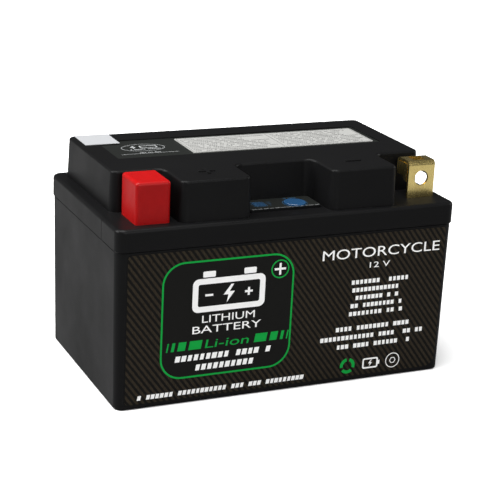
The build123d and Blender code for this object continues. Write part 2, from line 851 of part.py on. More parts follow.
def make_bottom_link(xs):
    """Bottom plate with a sense strip up the pack's back to the balance board."""
    plate = bus_plate(xs, False)
    x = (xs[0] + xs[1]) / 2
    half = sense_width / 2
    back = holder_back_y + sense_thickness
    low = pack_floor_z
    high = upper_bus_z + sense_thickness
    edge = pack_centre_y + board_depth / 2
    plate += block(x - half, x + half, row_y[-1], back, low, low + sense_thickness)
    plate += block(x - half, x + half, holder_back_y, back, low, high)
    plate += block(x - half, x + half, edge - sense_thickness, back, high - sense_thickness, high)
    plate += block(x - half, x + half, edge - sense_thickness, edge, high - sense_thickness, board_z)
    return plate


# ================================================================ leads and fasteners
def lead_ends():
    """For each lead: terminal x, bus x. The positive end is at -X."""
    return [("positive", positive_x, group_x[0]), ("negative", negative_x, group_x[-1])]


def make_lug(x, y_back):
    """Ring lug whose flat lies in front of y_back, with its crimped barrel hanging down."""
    y_front = y_back - lug_thickness
    barrel_top = lug_z - lug_radius - lug_neck
    lug = peg_y(x, lug_z, y_front, y_back, lug_radius)
    lug += block(x - lug_barrel_radius, x + lug_barrel_radius, y_front, y_back, barrel_top - 1, lug_z)
    lug += post(x, y_back - lug_thickness / 2, lug_barrel_end(), barrel_top, lug_barrel_radius)
    return lug - peg_y(x, lug_z, y_front - 1, y_back + 1, bolt_hole_radius)


def lug_barrel_end():
    return lug_z - lug_radius - lug_neck - lug_barrel_length


def make_lugs(terminal_x, bus_x):
    return Compound(children=[make_lug(terminal_x, terminal_front_y), make_lug(bus_x, flag_front_y)])


def make_lead(terminal_x, bus_x):
    """Insulated lead hanging in a loop between the two lugs' barrels."""
    top = lug_barrel_end()
    first = Vector(terminal_x, terminal_front_y - lug_thickness / 2, top)
    last = Vector(bus_x, flag_front_y - lug_thickness / 2, top)
    radius = 0.49 * (last - first).length
    drop = Vector(0, 0, -lead_straight - radius)
    path = FilletPolyline(first, first + drop, last + drop, last, radius=radius)
    print(f"lead loop radius {radius:.1f} mm, length {path.length:.1f} mm")
    section = Plane(origin=first, z_dir=(0, 0, -1)) * Circle(lead_radius)
    return sweep(section, path=path)


def make_bolt(x, y_seat, length):
    """Socket head bolt along Y; its head bears on y_seat and its shank runs towards the pack."""
    head = peg_y(x, lug_z, y_seat - bolt_head_height, y_seat, bolt_head_radius)
    head = fillet(head.edges().group_by(Axis.Y)[0], 0.5)
    shank = peg_y(x, lug_z, y_seat, y_seat + length, bolt_radius)
    plane = Plane(origin=(x, y_seat - bolt_head_height, lug_z), x_dir=(1, 0, 0), z_dir=(0, 1, 0))
    socket = extrude(plane * hexagon(socket_flat), amount=socket_depth)
    return head + shank - socket


def hexagon(across_flats):
    return RegularPolygon(across_flats / math.sqrt(3), 6)


def bolted_stacks():
    """x, front of the lug, and back of the plate it is bolted to, for every joint."""
    stacks = []
    for _, terminal_x, bus_x in lead_ends():
        stacks.append((terminal_x, terminal_front_y - lug_thickness, terminal_front_y + terminal_sheet))
        stacks.append((bus_x, flag_front_y - lug_thickness, flag_front_y + bus_thickness))
    return stacks


def make_lug_bolts():
    bolts = [make_bolt(x, front, back + nut_height - front) for x, front, back in bolted_stacks()]
    return Compound(children=bolts)


def make_lug_nuts():
    nuts = []
    for x, _, back in bolted_stacks():
        plane = Plane(origin=(x, back, lug_z), x_dir=(1, 0, 0), z_dir=(0, 1, 0))
        nut = extrude(plane * hexagon(nut_flat), amount=nut_height)
        nuts.append(nut - peg_y(x, lug_z, back - 1, back + nut_height + 1, bolt_radius + nut_clearance))
    return Compound(children=nuts)


# ================================================================ balance board
def make_balance_board():
    top = board_z + board_thickness
    middle = Pos(0, pack_centre_y, 0)
    board = middle * slab(board_length, board_depth, board_corner_radius, board_z, top)
    for x in standoff_places():
        board -= post(x, pack_centre_y, board_z, top, screw_hole_radius)
    return board


def place_on_board(size, places):
    """Copies of a small component standing on the board's top."""
    top = board_z + board_thickness
    parts = []
    for x, y in places:
        part = block(x - size[0] / 2, x + size[0] / 2, y - size[1] / 2, y + size[1] / 2, top, top + size[2])
        parts.append(fillet(part.edges().group_by(Axis.Z)[-1], 0.15))
    return Compound(children=parts)


def make_bleed_resistors():
    y = pack_centre_y + board_depth * 0.28
    places = [(x + side * 4.4, y) for x in group_x for side in (-1, 1) if abs(x) < board_length / 2]
    return place_on_board(resistor_size, places)


def make_balance_chips():
    y = pack_centre_y - board_depth * 0.12
    inner = [x for x in group_x if abs(x) + chip_size[0] < board_length / 2]
    return place_on_board(chip_size, [(x, y) for x in inner])


def make_ribbon_connector():
    y = pack_centre_y - board_depth / 2 + connector_size[1] / 2
    return place_on_board(connector_size, [(0, y)])


def make_board_screws():
    screw = Rot(180, 0, 0) * screw_up(0, 0, 0, board_screw_grip)
    seat = board_z + board_thickness
    return Compound(children=[Pos(x, pack_centre_y, seat) * screw for x in standoff_places()])


# ================================================================ foam pads
def foam_block(x0, x1, y0, y1, z0, z1):
    """A pad with rounded upright edges."""
    radius = min(pad_edge_radius, 0.4 * min(abs(x1 - x0), abs(y1 - y0)))
    pad = block(x0, x1, y0, y1, z0, z1)
    return fillet(pad.edges().filter_by(Axis.Z), radius)


def make_base_pad():
    half_x = holder_length / 2
    return foam_block(-half_x, half_x, holder_front_y, holder_back_y, floor_thickness, pack_floor_z)


def make_front_pad():
    half_x = notch_half + front_pad_overlap
    inner_front = -(bottom_width / 2 - case_wall) + pad_clearance
    top = indicator_board_top_z - indicator_board_thickness - board_screw_head - front_pad_top_gap
    return foam_block(-half_x, half_x, inner_front, holder_front_y - pad_clearance, floor_thickness, top)


def make_end_pad(side):
    inner = bottom_length / 2 - case_wall - pad_clearance
    outer = holder_length / 2 + pad_clearance
    top = container_height - end_pad_top_gap
    return foam_block(side * outer, side * inner, holder_front_y, holder_back_y, floor_thickness, top)


# ================================================================ build
def main():
    os.makedirs("parts", exist_ok=True)
    save("container", make_container())
    save("lid", make_lid())
    save("front_label", make_front_label())
    save("top_label", make_top_label())
    save("info_plate", make_info_plate())
    save("corner_sticker", make_corner_sticker())
    save("indicator_overlay", make_indicator_overlay())
    save("positive_terminal", make_terminal(positive_x))
    save("negative_terminal", make_terminal(negative_x))
    save("terminal_seals", make_terminal_seals())
    save("positive_cap", make_positive_cap())
    save("test_button", make_test_button())
    save("switch_stem", make_switch_stem())
    save("test_switch", make_test_switch())
    save("indicator_window", make_indicator_window())
    save("indicator_leds", make_indicator_leds())
    save("indicator_board", make_indicator_board())
    save("indicator_screws", make_indicator_screws())
    save("indicator_ribbon", make_indicator_ribbon())
    for number, (x, y, positive_up) in enumerate(cell_places(), start=1):
        save(f"cell_{number}", make_cell(x, y, positive_up))
        save(f"cell_sleeve_{number}", make_cell_sleeve(x, y, positive_up))
    save("cell_insulators", make_cell_insulators())
    save("lower_cell_holder", make_lower_holder())
    save("upper_cell_holder", make_upper_holder())
    save("positive_bus", make_end_bus(group_x[0]))
    save("negative_bus", make_end_bus(group_x[-1]))
    save("top_link", make_top_link())
    save("bottom_link_left", make_bottom_link(group_x[:2]))
    save("bottom_link_right", make_bottom_link(group_x[-2:]))
    for name, terminal_x, bus_x in lead_ends():
        save(f"{name}_lead", make_lead(terminal_x, bus_x))
        save(f"{name}_lead_lugs", make_lugs(terminal_x, bus_x))
    save("lug_bolts", make_lug_bolts())
    save("lug_nuts", make_lug_nuts())
    save("balance_board", make_balance_board())
    save("bleed_resistors", make_bleed_resistors())
    save("balance_chips", make_balance_chips())
    save("ribbon_connector", make_ribbon_connector())
    save("board_screws", make_board_screws())
    save("base_pad", make_base_pad())
    save("front_pad", make_front_pad())
    save("left_end_pad", make_end_pad(-1))
    save("right_end_pad", make_end_pad(1))


main()
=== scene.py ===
import json
import math
import random

import bmesh
import bpy
from mathutils import Matrix, Vector


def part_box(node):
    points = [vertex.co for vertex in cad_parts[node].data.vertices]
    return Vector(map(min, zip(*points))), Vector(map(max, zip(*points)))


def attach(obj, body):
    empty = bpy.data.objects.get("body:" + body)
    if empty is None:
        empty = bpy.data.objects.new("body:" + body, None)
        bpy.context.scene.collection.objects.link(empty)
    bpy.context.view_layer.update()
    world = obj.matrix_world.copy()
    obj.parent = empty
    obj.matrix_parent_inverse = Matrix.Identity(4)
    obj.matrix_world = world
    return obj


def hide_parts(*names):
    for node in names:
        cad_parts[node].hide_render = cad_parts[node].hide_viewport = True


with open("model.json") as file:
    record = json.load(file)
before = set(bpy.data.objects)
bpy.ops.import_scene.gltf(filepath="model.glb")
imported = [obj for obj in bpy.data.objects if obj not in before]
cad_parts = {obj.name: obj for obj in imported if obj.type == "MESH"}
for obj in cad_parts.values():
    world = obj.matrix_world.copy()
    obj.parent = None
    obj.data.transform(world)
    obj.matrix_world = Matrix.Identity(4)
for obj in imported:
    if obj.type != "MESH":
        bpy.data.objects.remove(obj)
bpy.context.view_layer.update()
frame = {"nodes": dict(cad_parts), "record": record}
mm = 0.001
print("frame loaded:", len(frame["nodes"]), "nodes")


def addNode(tree, kind, **settings):
    node = tree.nodes.new(kind)
    for name, value in settings.items():
        setattr(node, name, value)
    return node


def feed(tree, socket, value):
    # a socket takes either another socket or a plain value
    if isinstance(value, bpy.types.NodeSocket):
        tree.links.new(value, socket)
    else:
        socket.default_value = value


def math2(tree, operation, a, b=0.0, clamp=False):
    node = addNode(tree, "ShaderNodeMath", operation=operation, use_clamp=clamp)
    feed(tree, node.inputs[0], a)
    feed(tree, node.inputs[1], b)
    return node.outputs[0]


def remap(tree, value, low, high, toLow=0.0, toHigh=1.0):
    node = addNode(tree, "ShaderNodeMapRange")
    for socket, entry in zip(node.inputs, (value, low, high, toLow, toHigh)):
        feed(tree, socket, entry)
    return node.outputs[0]


def mixColour(tree, factor, a, b, blend="MIX"):
    node = addNode(tree, "ShaderNodeMix", data_type="RGBA", blend_type=blend)
    feed(tree, node.inputs[0], factor)
    feed(tree, node.inputs[6], a)
    feed(tree, node.inputs[7], b)
    return node.outputs[2]


def noise(tree, vector, scale, detail=2.0, roughness=0.5):
    node = addNode(tree, "ShaderNodeTexNoise")
    feed(tree, node.inputs["Vector"], vector)
    node.inputs["Scale"].default_value = scale
    node.inputs["Detail"].default_value = detail
    node.inputs["Roughness"].default_value = roughness
    return node.outputs[0]


def stretched(tree, vector, scale):
    node = addNode(tree, "ShaderNodeMapping")
    feed(tree, node.inputs["Vector"], vector)
    node.inputs["Scale"].default_value = scale
    return node.outputs[0]


def objectPoint(tree):
    return addNode(tree, "ShaderNodeTexCoord").outputs["Object"]


def bumpFrom(tree, height, strength, distance):
    node = addNode(tree, "ShaderNodeBump")
    node.inputs["Strength"].default_value = strength
    node.inputs["Distance"].default_value = distance
    feed(tree, node.inputs["Height"], height)
    return node.outputs[0]


def newGroup(name, inputs, outputs):
    group = bpy.data.node_groups.new(name, "ShaderNodeTree")
    for label, kind, value in inputs:
        socket = group.interface.new_socket(name=label, in_out="INPUT", socket_type=kind)
        socket.default_value = value
    for label, kind in outputs:
        group.interface.new_socket(name=label, in_out="OUTPUT", socket_type=kind)
    return group, addNode(group, "NodeGroupInput"), addNode(group, "NodeGroupOutput")


def useGroup(tree, group, **values):
    node = addNode(tree, "ShaderNodeGroup", node_tree=group)
    for name, value in values.items():
        feed(tree, node.inputs[name], value)
    return node


def newMaterial(name, **shader):
    material = bpy.data.materials.new(name)
    material.use_nodes = True
    principled = material.node_tree.nodes["Principled BSDF"]
    for label, value in shader.items():
        principled.inputs[label.replace("_", " ")].default_value = value
    return material, material.node_tree, principled


floatSocket, colourSocket = "NodeSocketFloat", "NodeSocketColor"


def makeSkinGroup():
    # moulded plastic: fine spark texture, handling marks and rubbed edges
    group, entry, result = newGroup(
        "mouldedSkin",
        [
            ("Colour", colourSocket, (0.02, 0.02, 0.02, 1)),
            ("Rubbed", colourSocket, (0.06, 0.06, 0.06, 1)),
            ("Roughness", floatSocket, 0.45),
            ("Variation", floatSocket, 0.08),
            ("Wear", floatSocket, 0.5),
        ],
        [("Colour", colourSocket), ("Roughness", floatSocket), ("Height", floatSocket)],
    )
    point = objectPoint(group)
    bevel = addNode(group, "ShaderNodeBevel", samples=4)
    bevel.inputs["Radius"].default_value = 0.5 * mm
    flat = addNode(group, "ShaderNodeNewGeometry").outputs["Normal"]
    dot = addNode(group, "ShaderNodeVectorMath", operation="DOT_PRODUCT")
    group.links.new(bevel.outputs[0], dot.inputs[0])
    group.links.new(flat, dot.inputs[1])
    edge = remap(group, dot.outputs["Value"], 0.985, 0.90)
    patchy = remap(group, noise(group, point, 260, 4, 0.6), 0.42, 0.62)
    worn = math2(group, "MULTIPLY", math2(group, "MULTIPLY", edge, patchy), entry.outputs["Wear"], True)
    smudge = noise(group, point, 34, 3, 0.55)
    spread = remap(group, smudge, 0.3, 0.7, -1.0, 1.0)
    colour = mixColour(group, worn, entry.outputs["Colour"], entry.outputs["Rubbed"])
    roughness = math2(group, "MULTIPLY_ADD", spread, entry.outputs["Variation"])
    roughness.node.inputs[2].default_value = 0.0
    group.links.new(entry.outputs["Roughness"], roughness.node.inputs[2])
    fine = noise(group, point, 3200, 2, 0.6)
    coarse = noise(group, point, 900, 2, 0.5)
    height = math2(group, "ADD", math2(group, "MULTIPLY", fine, 0.6), math2(group, "MULTIPLY", coarse, 0.4))
    group.links.new(colour, result.inputs["Colour"])
    group.links.new(roughness, result.inputs["Roughness"])
    group.links.new(height, result.inputs["Height"])
    return group


def makeBrushedGroup():
    # rolled or brushed metal: streaks along Z, tarnish blooms, a few scratches
    group, entry, result = newGroup(
        "brushedMetal",
        [
            ("Colour", colourSocket, (0.7, 0.7, 0.7, 1)),
            ("Tarnish", colourSocket, (0.3, 0.3, 0.3, 1)),
            ("Roughness", floatSocket, 0.3),
            ("Amount", floatSocket, 0.3),
        ],
        [("Colour", colourSocket), ("Roughness", floatSocket), ("Height", floatSocket)],
    )
    point = objectPoint(group)
    streak = noise(group, stretched(group, point, (1, 1, 0.06)), 2600, 3, 0.65)
    bloom = remap(group, noise(group, point, 210, 4, 0.6), 0.48, 0.72)
    scratch = remap(group, noise(group, stretched(group, point, (0.12, 1, 1)), 1500, 1, 0.4), 0.68, 0.74)
    tint = math2(group, "MULTIPLY", bloom, entry.outputs["Amount"], True)
    colour = mixColour(group, tint, entry.outputs["Colour"], entry.outputs["Tarnish"])
    shade = mixColour(
        group, remap(group, streak, 0.3, 0.7, 0.0, 0.25), colour, (0.95, 0.95, 0.95, 1), "MULTIPLY"
    )
    spread = math2(group, "MULTIPLY", math2(group, "SUBTRACT", streak, 0.5), 0.25)
    dull = math2(group, "MULTIPLY", tint, 0.25)
    roughness = math2(group, "ADD", math2(group, "ADD", entry.outputs["Roughness"], spread), dull)
    height = math2(group, "SUBTRACT", streak, scratch)
    group.links.new(shade, result.inputs["Colour"])
    group.links.new(roughness, result.inputs["Roughness"])
    group.links.new(height, result.inputs["Height"])
    return group


def makePrintGroup():
    # printing ink: faint mottling, rubbed specks
    group, entry, result = newGroup(
        "screenPrint",
        [("Colour", colourSocket, (0.9, 0.9, 0.9, 1)), ("Roughness", floatSocket, 0.4)],
        [("Colour", colourSocket), ("Roughness", floatSocket), ("Height", floatSocket)],
    )
    point = objectPoint(group)
    mottle = noise(group, point, 1400, 3, 0.6)
    patch = noise(group, point, 90, 2, 0.5)
    tone = remap(group, mottle, 0.25, 0.75, 0.0, 0.10)
    colour = mixColour(group, tone, entry.outputs["Colour"], (0.35, 0.35, 0.34, 1), "MULTIPLY")
    roughness = math2(group, "ADD", entry.outputs["Roughness"], remap(group, patch, 0.3, 0.7, -0.05, 0.08))
    group.links.new(colour, result.inputs["Colour"])
    group.links.new(roughness, result.inputs["Roughness"])
    group.links.new(mottle, result.inputs["Height"])
    return group


skinGroup = makeSkinGroup()
brushedGroup = makeBrushedGroup()
printGroup = makePrintGroup()


def wire(tree, principled, node, bump, depth, bumpHeight=None):
    tree.links.new(node.outputs["Colour"], principled.inputs["Base Color"])
    tree.links.new(node.outputs["Roughness"], principled.inputs["Roughness"])
    height = bumpHeight or node.outputs["Height"]
    tree.links.new(bumpFrom(tree, height, bump, depth), principled.inputs["Normal"])


def plastic(name, colour, rubbed, roughness, wear=0.5, variation=0.06, bump=0.35, depth=0.03 * mm, **shader):
    material, tree, principled = newMaterial(name, **shader)
    skin = useGroup(
        tree, skinGroup, Colour=colour, Rubbed=rubbed, Roughness=roughness, Variation=variation, Wear=wear
    )
    wire(tree, principled, skin, bump, depth)
    return material


def metal(name, colour, tarnish, roughness, amount=0.3, bump=0.25, depth=0.02 * mm, **shader):
    material, tree, principled = newMaterial(name, Metallic=1.0, **shader)
    brushed = useGroup(tree, brushedGroup, Colour=colour, Tarnish=tarnish, Roughness=roughness, Amount=amount)
    wire(tree, principled, brushed, bump, depth)
    return material


def ink(name, colour, roughness, **shader):
    material, tree, principled = newMaterial(name, **shader)
    printed = useGroup(tree, printGroup, Colour=colour, Roughness=roughness)
    wire(tree, principled, printed, 0.15, 0.01 * mm)
    return material


carbonLook = {
    "across": 2.55 * mm,  # one stripe along X
    "down": 3.45 * mm,  # one stripe along Z
    "light": (0.0260, 0.0200, 0.0125, 1),
    "dark": (0.0038, 0.0035, 0.0030, 1),
    "roughness": 0.38,
}


def makeCarbonLabel(look):
    # printed twill: diagonal tows with fine fibres, under a satin film
    material, tree, principled = newMaterial("carbonLabel", Specular_IOR_Level=0.10)
    point = objectPoint(tree)
    axes = addNode(tree, "ShaderNodeSeparateXYZ")
    tree.links.new(point, axes.inputs[0])
    along = math2(tree, "MULTIPLY", axes.outputs["X"], 1 / look["across"])
    up = math2(tree, "MULTIPLY", axes.outputs["Z"], 1 / look["down"])
    wobble = remap(tree, noise(tree, point, 700, 2, 0.5), 0.2, 0.8, -0.05, 0.05)
    phase = math2(tree, "ADD", math2(tree, "ADD", along, up), wobble)
    wave = math2(tree, "SINE", math2(tree, "MULTIPLY", phase, math.tau))
    band = addNode(tree, "ShaderNodeMapRange", interpolation_type="SMOOTHSTEP")
    tree.links.new(wave, band.inputs[0])
    band.inputs[1].default_value = -0.35
    band.inputs[2].default_value = 0.35
    fibre = noise(tree, stretched(tree, point, (1, 1, 0.14)), 5200, 2, 0.6)
    cross = noise(tree, stretched(tree, point, (0.14, 1, 1)), 5200, 2, 0.6)
    weaveFibre = addNode(tree, "ShaderNodeMix", data_type="FLOAT")
    feed(tree, weaveFibre.inputs[0], band.outputs[0])
    feed(tree, weaveFibre.inputs[2], cross)
    feed(tree, weaveFibre.inputs[3], fibre)
    tows = mixColour(tree, band.outputs[0], look["dark"], look["light"])
    grain = remap(tree, weaveFibre.outputs[0], 0.3, 0.7, 0.55, 1.35)
    shade = addNode(tree, "ShaderNodeVectorMath", operation="SCALE")
    feed(tree, shade.inputs[0], tows)
    feed(tree, shade.inputs["Scale"], grain)
    tree.links.new(shade.outputs[0], principled.inputs["Base Color"])
    smudge = remap(
        tree, noise(tree, point, 45, 3, 0.5), 0.3, 0.7, look["roughness"] - 0.05, look["roughness"] + 0.07
    )
    tree.links.new(smudge, principled.inputs["Roughness"])
    film = math2(
        tree, "ADD", math2(tree, "MULTIPLY", band.outputs[0], 0.25), noise(tree, point, 1300, 2, 0.5)
    )
    tree.links.new(bumpFrom(tree, film, 0.2, 0.02 * mm), principled.inputs["Normal"])
    return material


def makeFoam():
    material, tree, principled = newMaterial("greyFoam")
    point = objectPoint(tree)
    cells = addNode(tree, "ShaderNodeTexVoronoi")
    tree.links.new(point, cells.inputs["Vector"])
    cells.inputs["Scale"].default_value = 1500
    open_ = remap(tree, cells.outputs["Distance"], 0.05, 0.55)
    tone = mixColour(tree, open_, (0.030, 0.030, 0.032, 1), (0.115, 0.115, 0.120, 1))
    cloud = remap(tree, noise(tree, point, 60, 3, 0.6), 0.3, 0.7, 0.8, 1.15)
    shade = addNode(tree, "ShaderNodeVectorMath", operation="SCALE")
    feed(tree, shade.inputs[0], tone)
    feed(tree, shade.inputs["Scale"], cloud)
    tree.links.new(shade.outputs[0], principled.inputs["Base Color"])
    tree.links.new(remap(tree, open_, 0.0, 1.0, 0.98, 0.86), principled.inputs["Roughness"])
    tree.links.new(bumpFrom(tree, open_, 0.8, 0.15 * mm), principled.inputs["Normal"])
    return material


def makeCircuitBoard():
    # green mask with copper tracks showing as a lighter green
    material, tree, principled = newMaterial("circuitBoard")
    point = objectPoint(tree)
    tracks = addNode(tree, "ShaderNodeTexBrick", offset=0.5, offset_frequency=2)
    tree.links.new(point, tracks.inputs["Vector"])
    tracks.inputs["Scale"].default_value = 170
    tracks.inputs["Mortar Size"].default_value = 0.045
    tracks.inputs["Color1"].default_value = (0.006, 0.060, 0.026, 1)
    tracks.inputs["Color2"].default_value = (0.008, 0.085, 0.034, 1)
    tracks.inputs["Mortar"].default_value = (0.030, 0.200, 0.075, 1)
    weave = noise(tree, stretched(tree, point, (1, 0.2, 1)), 2600, 2, 0.5)
    tone = mixColour(
        tree, remap(tree, weave, 0.3, 0.7, 0.0, 0.35), tracks.outputs["Color"], (0.004, 0.035, 0.016, 1)
    )
    tree.links.new(tone, principled.inputs["Base Color"])
    tree.links.new(remap(tree, weave, 0.2, 0.8, 0.25, 0.42), principled.inputs["Roughness"])
    tree.links.new(bumpFrom(tree, tracks.outputs["Fac"], 0.4, 0.04 * mm), principled.inputs["Normal"])
    return material


def makeSleeve():
    # shrink film: drawn slightly tight round the can, with faint rings
    material, tree, principled = newMaterial("blueSleeve", **{"Coat_Weight": 0.4, "Coat_Roughness": 0.12})
    point = objectPoint(tree)
    rings = noise(tree, stretched(tree, point, (0.12, 0.12, 1)), 900, 2, 0.5)
    tone = mixColour(tree, remap(tree, rings, 0.3, 0.7), (0.010, 0.075, 0.260, 1), (0.016, 0.105, 0.340, 1))
    tree.links.new(tone, principled.inputs["Base Color"])
    tree.links.new(remap(tree, rings, 0.2, 0.8, 0.24, 0.38), principled.inputs["Roughness"])
    tree.links.new(bumpFrom(tree, rings, 0.3, 0.05 * mm), principled.inputs["Normal"])
    return material


def makeRedCap():
    # soft vinyl: slightly translucent, with faint flow marks and a satin bloom
    material, tree, principled = newMaterial(
        "redVinyl", **{
            "Specular_IOR_Level": 0.16, "Subsurface_Weight": 0.2, "Subsurface_Scale": 1.2 * mm,
            "Subsurface_Radius": (1.0, 0.18, 0.14)
        }
    )
    point = objectPoint(tree)
    flow = noise(tree, stretched(tree, point, (1, 1, 0.4)), 320, 4, 0.6)
    tone = mixColour(
        tree, remap(tree, flow, 0.3, 0.7), (0.270, 0.0016, 0.0020, 1), (0.310, 0.0024, 0.0026, 1)
    )
    skin = useGroup(
        tree, skinGroup, Colour=tone, Rubbed=(0.42, 0.02, 0.018, 1), Roughness=0.40, Variation=0.07,
        Wear=0.55
    )
    wire(tree, principled, skin, 0.22, 0.025 * mm)
    return material


def makeWindow():
    # tinted light guide with a faint frosted grid inside
    material, tree, principled = newMaterial("blueWindow", **{"Coat_Weight": 0.8, "Coat_Roughness": 0.05})
    point = objectPoint(tree)
    grid = addNode(tree, "ShaderNodeTexVoronoi", distance="CHEBYCHEV")
    tree.links.new(point, grid.inputs["Vector"])
    grid.inputs["Scale"].default_value = 900
    tone = mixColour(
        tree, remap(tree, grid.outputs["Distance"], 0.0, 0.6), (0.004, 0.016, 0.045, 1),
        (0.020, 0.060, 0.120, 1)
    )
    tree.links.new(tone, principled.inputs["Base Color"])
    tree.links.new(
        remap(tree, noise(tree, point, 500, 2, 0.5), 0.3, 0.7, 0.12, 0.22), principled.inputs["Roughness"]
    )
    return material


black = (0.0040, 0.0040, 0.0042, 1)
rubbedBlack = (0.030, 0.030, 0.031, 1)
looks = {
    "case_plastic": plastic(
        "casePlastic", black, rubbedBlack, 0.42, wear=0.30, bump=0.30, Specular_IOR_Level=0.10
    ),
    "carbon_label": makeCarbonLabel(carbonLook),
    "dark_label": plastic(
        "darkLabel", (0.010, 0.011, 0.010, 1), (0.03, 0.03, 0.03, 1), 0.33,
        wear=0.2, bump=0.12, Specular_IOR_Level=0.2
    ),
    "silver_film": ink("silverFilm", (0.300, 0.300, 0.288, 1), 0.5, Specular_IOR_Level=0.2),
    "white_paper": ink("whitePaper", (0.31, 0.315, 0.325, 1), 0.6, Specular_IOR_Level=0.15),
    "brass": metal("brass", (0.98, 0.78, 0.30, 1), (0.50, 0.30, 0.09, 1), 0.24, amount=0.30, bump=0.08),
    "potting": plastic("potting", (0.010, 0.010, 0.011, 1), (0.03, 0.03, 0.03, 1), 0.16, wear=0.1, bump=0.1),
    "red_vinyl": makeRedCap(),
    "blue_button": plastic(
        "blueButton", (0.012, 0.050, 0.120, 1), (0.06, 0.16, 0.30, 1), 0.24, wear=0.7, bump=0.15
    ),
    "black_plastic": plastic("blackPlastic", (0.012, 0.012, 0.012, 1), rubbedBlack, 0.5, wear=0.3, bump=0.2),
    "white_plastic": plastic(
        "whitePlastic", (0.66, 0.64, 0.58, 1), (0.8, 0.8, 0.78, 1), 0.4, wear=0.3, bump=0.2
    ),
    "blue_window": makeWindow(),
    "led_body": plastic("ledBody", (0.74, 0.72, 0.50, 1), (0.85, 0.85, 0.8, 1), 0.18, wear=0.3, bump=0.1),
    "circuit_board": makeCircuitBoard(),
    "zinc_steel": metal("zincSteel", (0.62, 0.63, 0.66, 1), (0.36, 0.35, 0.34, 1), 0.28, amount=0.3),
    "grey_cable": plastic("greyCable", (0.20, 0.20, 0.21, 1), (0.3, 0.3, 0.3, 1), 0.45, wear=0.2, bump=0.3),
    "insulator_paper": plastic(
        "insulatorPaper", (0.40, 0.46, 0.30, 1), (0.5, 0.55, 0.4, 1), 0.8, wear=0.2, bump=0.6
    ),
    "holder_plastic": plastic(
        "holderPlastic", (0.016, 0.016, 0.017, 1), rubbedBlack, 0.46, wear=0.5, bump=0.35
    ),
    "nickel": metal("nickel", (0.70, 0.66, 0.60, 1), (0.50, 0.44, 0.34, 1), 0.32, amount=0.35),
    "red_silicone": plastic(
        "redSilicone", (0.42, 0.010, 0.010, 1), (0.5, 0.05, 0.05, 1), 0.42, wear=0.2, bump=0.25
    ),
    "black_silicone": plastic(
        "blackSilicone", (0.014, 0.014, 0.014, 1), (0.05, 0.05, 0.05, 1), 0.42, wear=0.2, bump=0.25
    ),
    "tinned_copper": metal("tinnedCopper", (0.72, 0.71, 0.68, 1), (0.50, 0.40, 0.30, 1), 0.26, amount=0.3),
    "grey_foam": makeFoam(),
    "cell_steel": metal("cellSteel", (0.60, 0.60, 0.61, 1), (0.42, 0.41, 0.40, 1), 0.30, amount=0.25),
    "blue_sleeve": makeSleeve(),
}
whiteInk = ink("whiteInk", (0.95, 0.95, 0.94, 1), 0.38)
greenInk = ink("greenInk", (0.0010, 0.330, 0.046, 1), 0.42, Specular_IOR_Level=0.15)
blackInk = ink("blackInk", (0.0060, 0.0060, 0.0054, 1), 0.36, Specular_IOR_Level=0.10)
greyInk = ink("greyInk", (0.070, 0.070, 0.070, 1), 0.45)
blueInk = ink("blueInk", (0.020, 0.060, 0.110, 1), 0.4)
paleInk = ink("paleInk", (0.30, 0.31, 0.31, 1), 0.45)

for entry in frame["record"]["subparts"]:
    node = frame["nodes"][entry["node"]]
    node.data.materials.clear()
    node.data.materials.append(looks[entry["material_slot"]])
print("materials on the frame's nodes")

# outlines are in millimetres on a flat sheet, then laid on a label's face


def arcPoints(centre, radius, start, end, steps):
    turns = [math.radians(start + (end - start) * i / steps) for i in range(steps + 1)]
    return [(centre[0] + radius * math.cos(t), centre[1] + radius * math.sin(t)) for t in turns]


def roundedOutline(x0, x1, y0, y1, radius, steps=8):
    r = min(radius, (x1 - x0) / 2, (y1 - y0) / 2)
    corners = [
        ((x1 - r, y0 + r), -90), ((x1 - r, y1 - r), 0), ((x0 + r, y1 - r), 90), ((x0 + r, y0 + r), 180)
    ]
    return [p for centre, start in corners for p in arcPoints(centre, r, start, start + 90, steps)]


def disc(centre, radius, steps=40):
    return arcPoints(centre, radius, 0, 360, steps)[:-1]


def barOutline(x0, x1, y0, y1, slant=0.0):
    shift = slant * (y1 - y0)
    return [(x0, y0), (x1, y0), (x1 + shift, y1), (x0 + shift, y1)]


def layFront(node):
    # a front face that leans outwards towards its top
    low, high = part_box(node)
    thickness = 0.2 * mm
    lean = (high.y - low.y - thickness) / (high.z - low.z)
    return lambda x, y, lift: Vector((x * mm, low.y + (high.z - y * mm) * lean - lift * mm, y * mm))


def layTop(node):
    low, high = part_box(node)
    return lambda x, y, lift: Vector((x * mm, y * mm, high.z + lift * mm))


def addPrism(mesh, outline, low, high, lay):
    under = [mesh.verts.new(lay(x, y, low)) for x, y in outline]
    over = [mesh.verts.new(lay(x, y, high)) for x, y in outline]
    count = len(outline)
    mesh.faces.new(over)
    mesh.faces.new(list(reversed(under)))
    for i in range(count):
        j = (i + 1) % count
        mesh.faces.new((under[i], under[j], over[j], over[i]))


def addBand(mesh, outer, inner, low, high, lay):
    # a frame between two outlines that have as many points
    rings = [[mesh.verts.new(lay(x, y, z)) for x, y in line] for line, z in
             ((outer, high), (inner, high), (inner, low), (outer, low))]
    count = len(outer)
    for a, b in zip(rings, rings[1:] + rings[:1]):
        for i in range(count):
            j = (i + 1) % count
            mesh.faces.new((a[i], a[j], b[j], b[i]))


def finishMesh(name, mesh, material, smooth=False):
    bmesh.ops.recalc_face_normals(mesh, faces=mesh.faces[:])
    data = bpy.data.meshes.new(name)
    mesh.to_mesh(data)
    mesh.free()
    for polygon in data.polygons:
        polygon.use_smooth = smooth
    data.materials.append(material)
    piece = bpy.data.objects.new(name, data)
    bpy.context.scene.collection.objects.link(piece)
    return piece


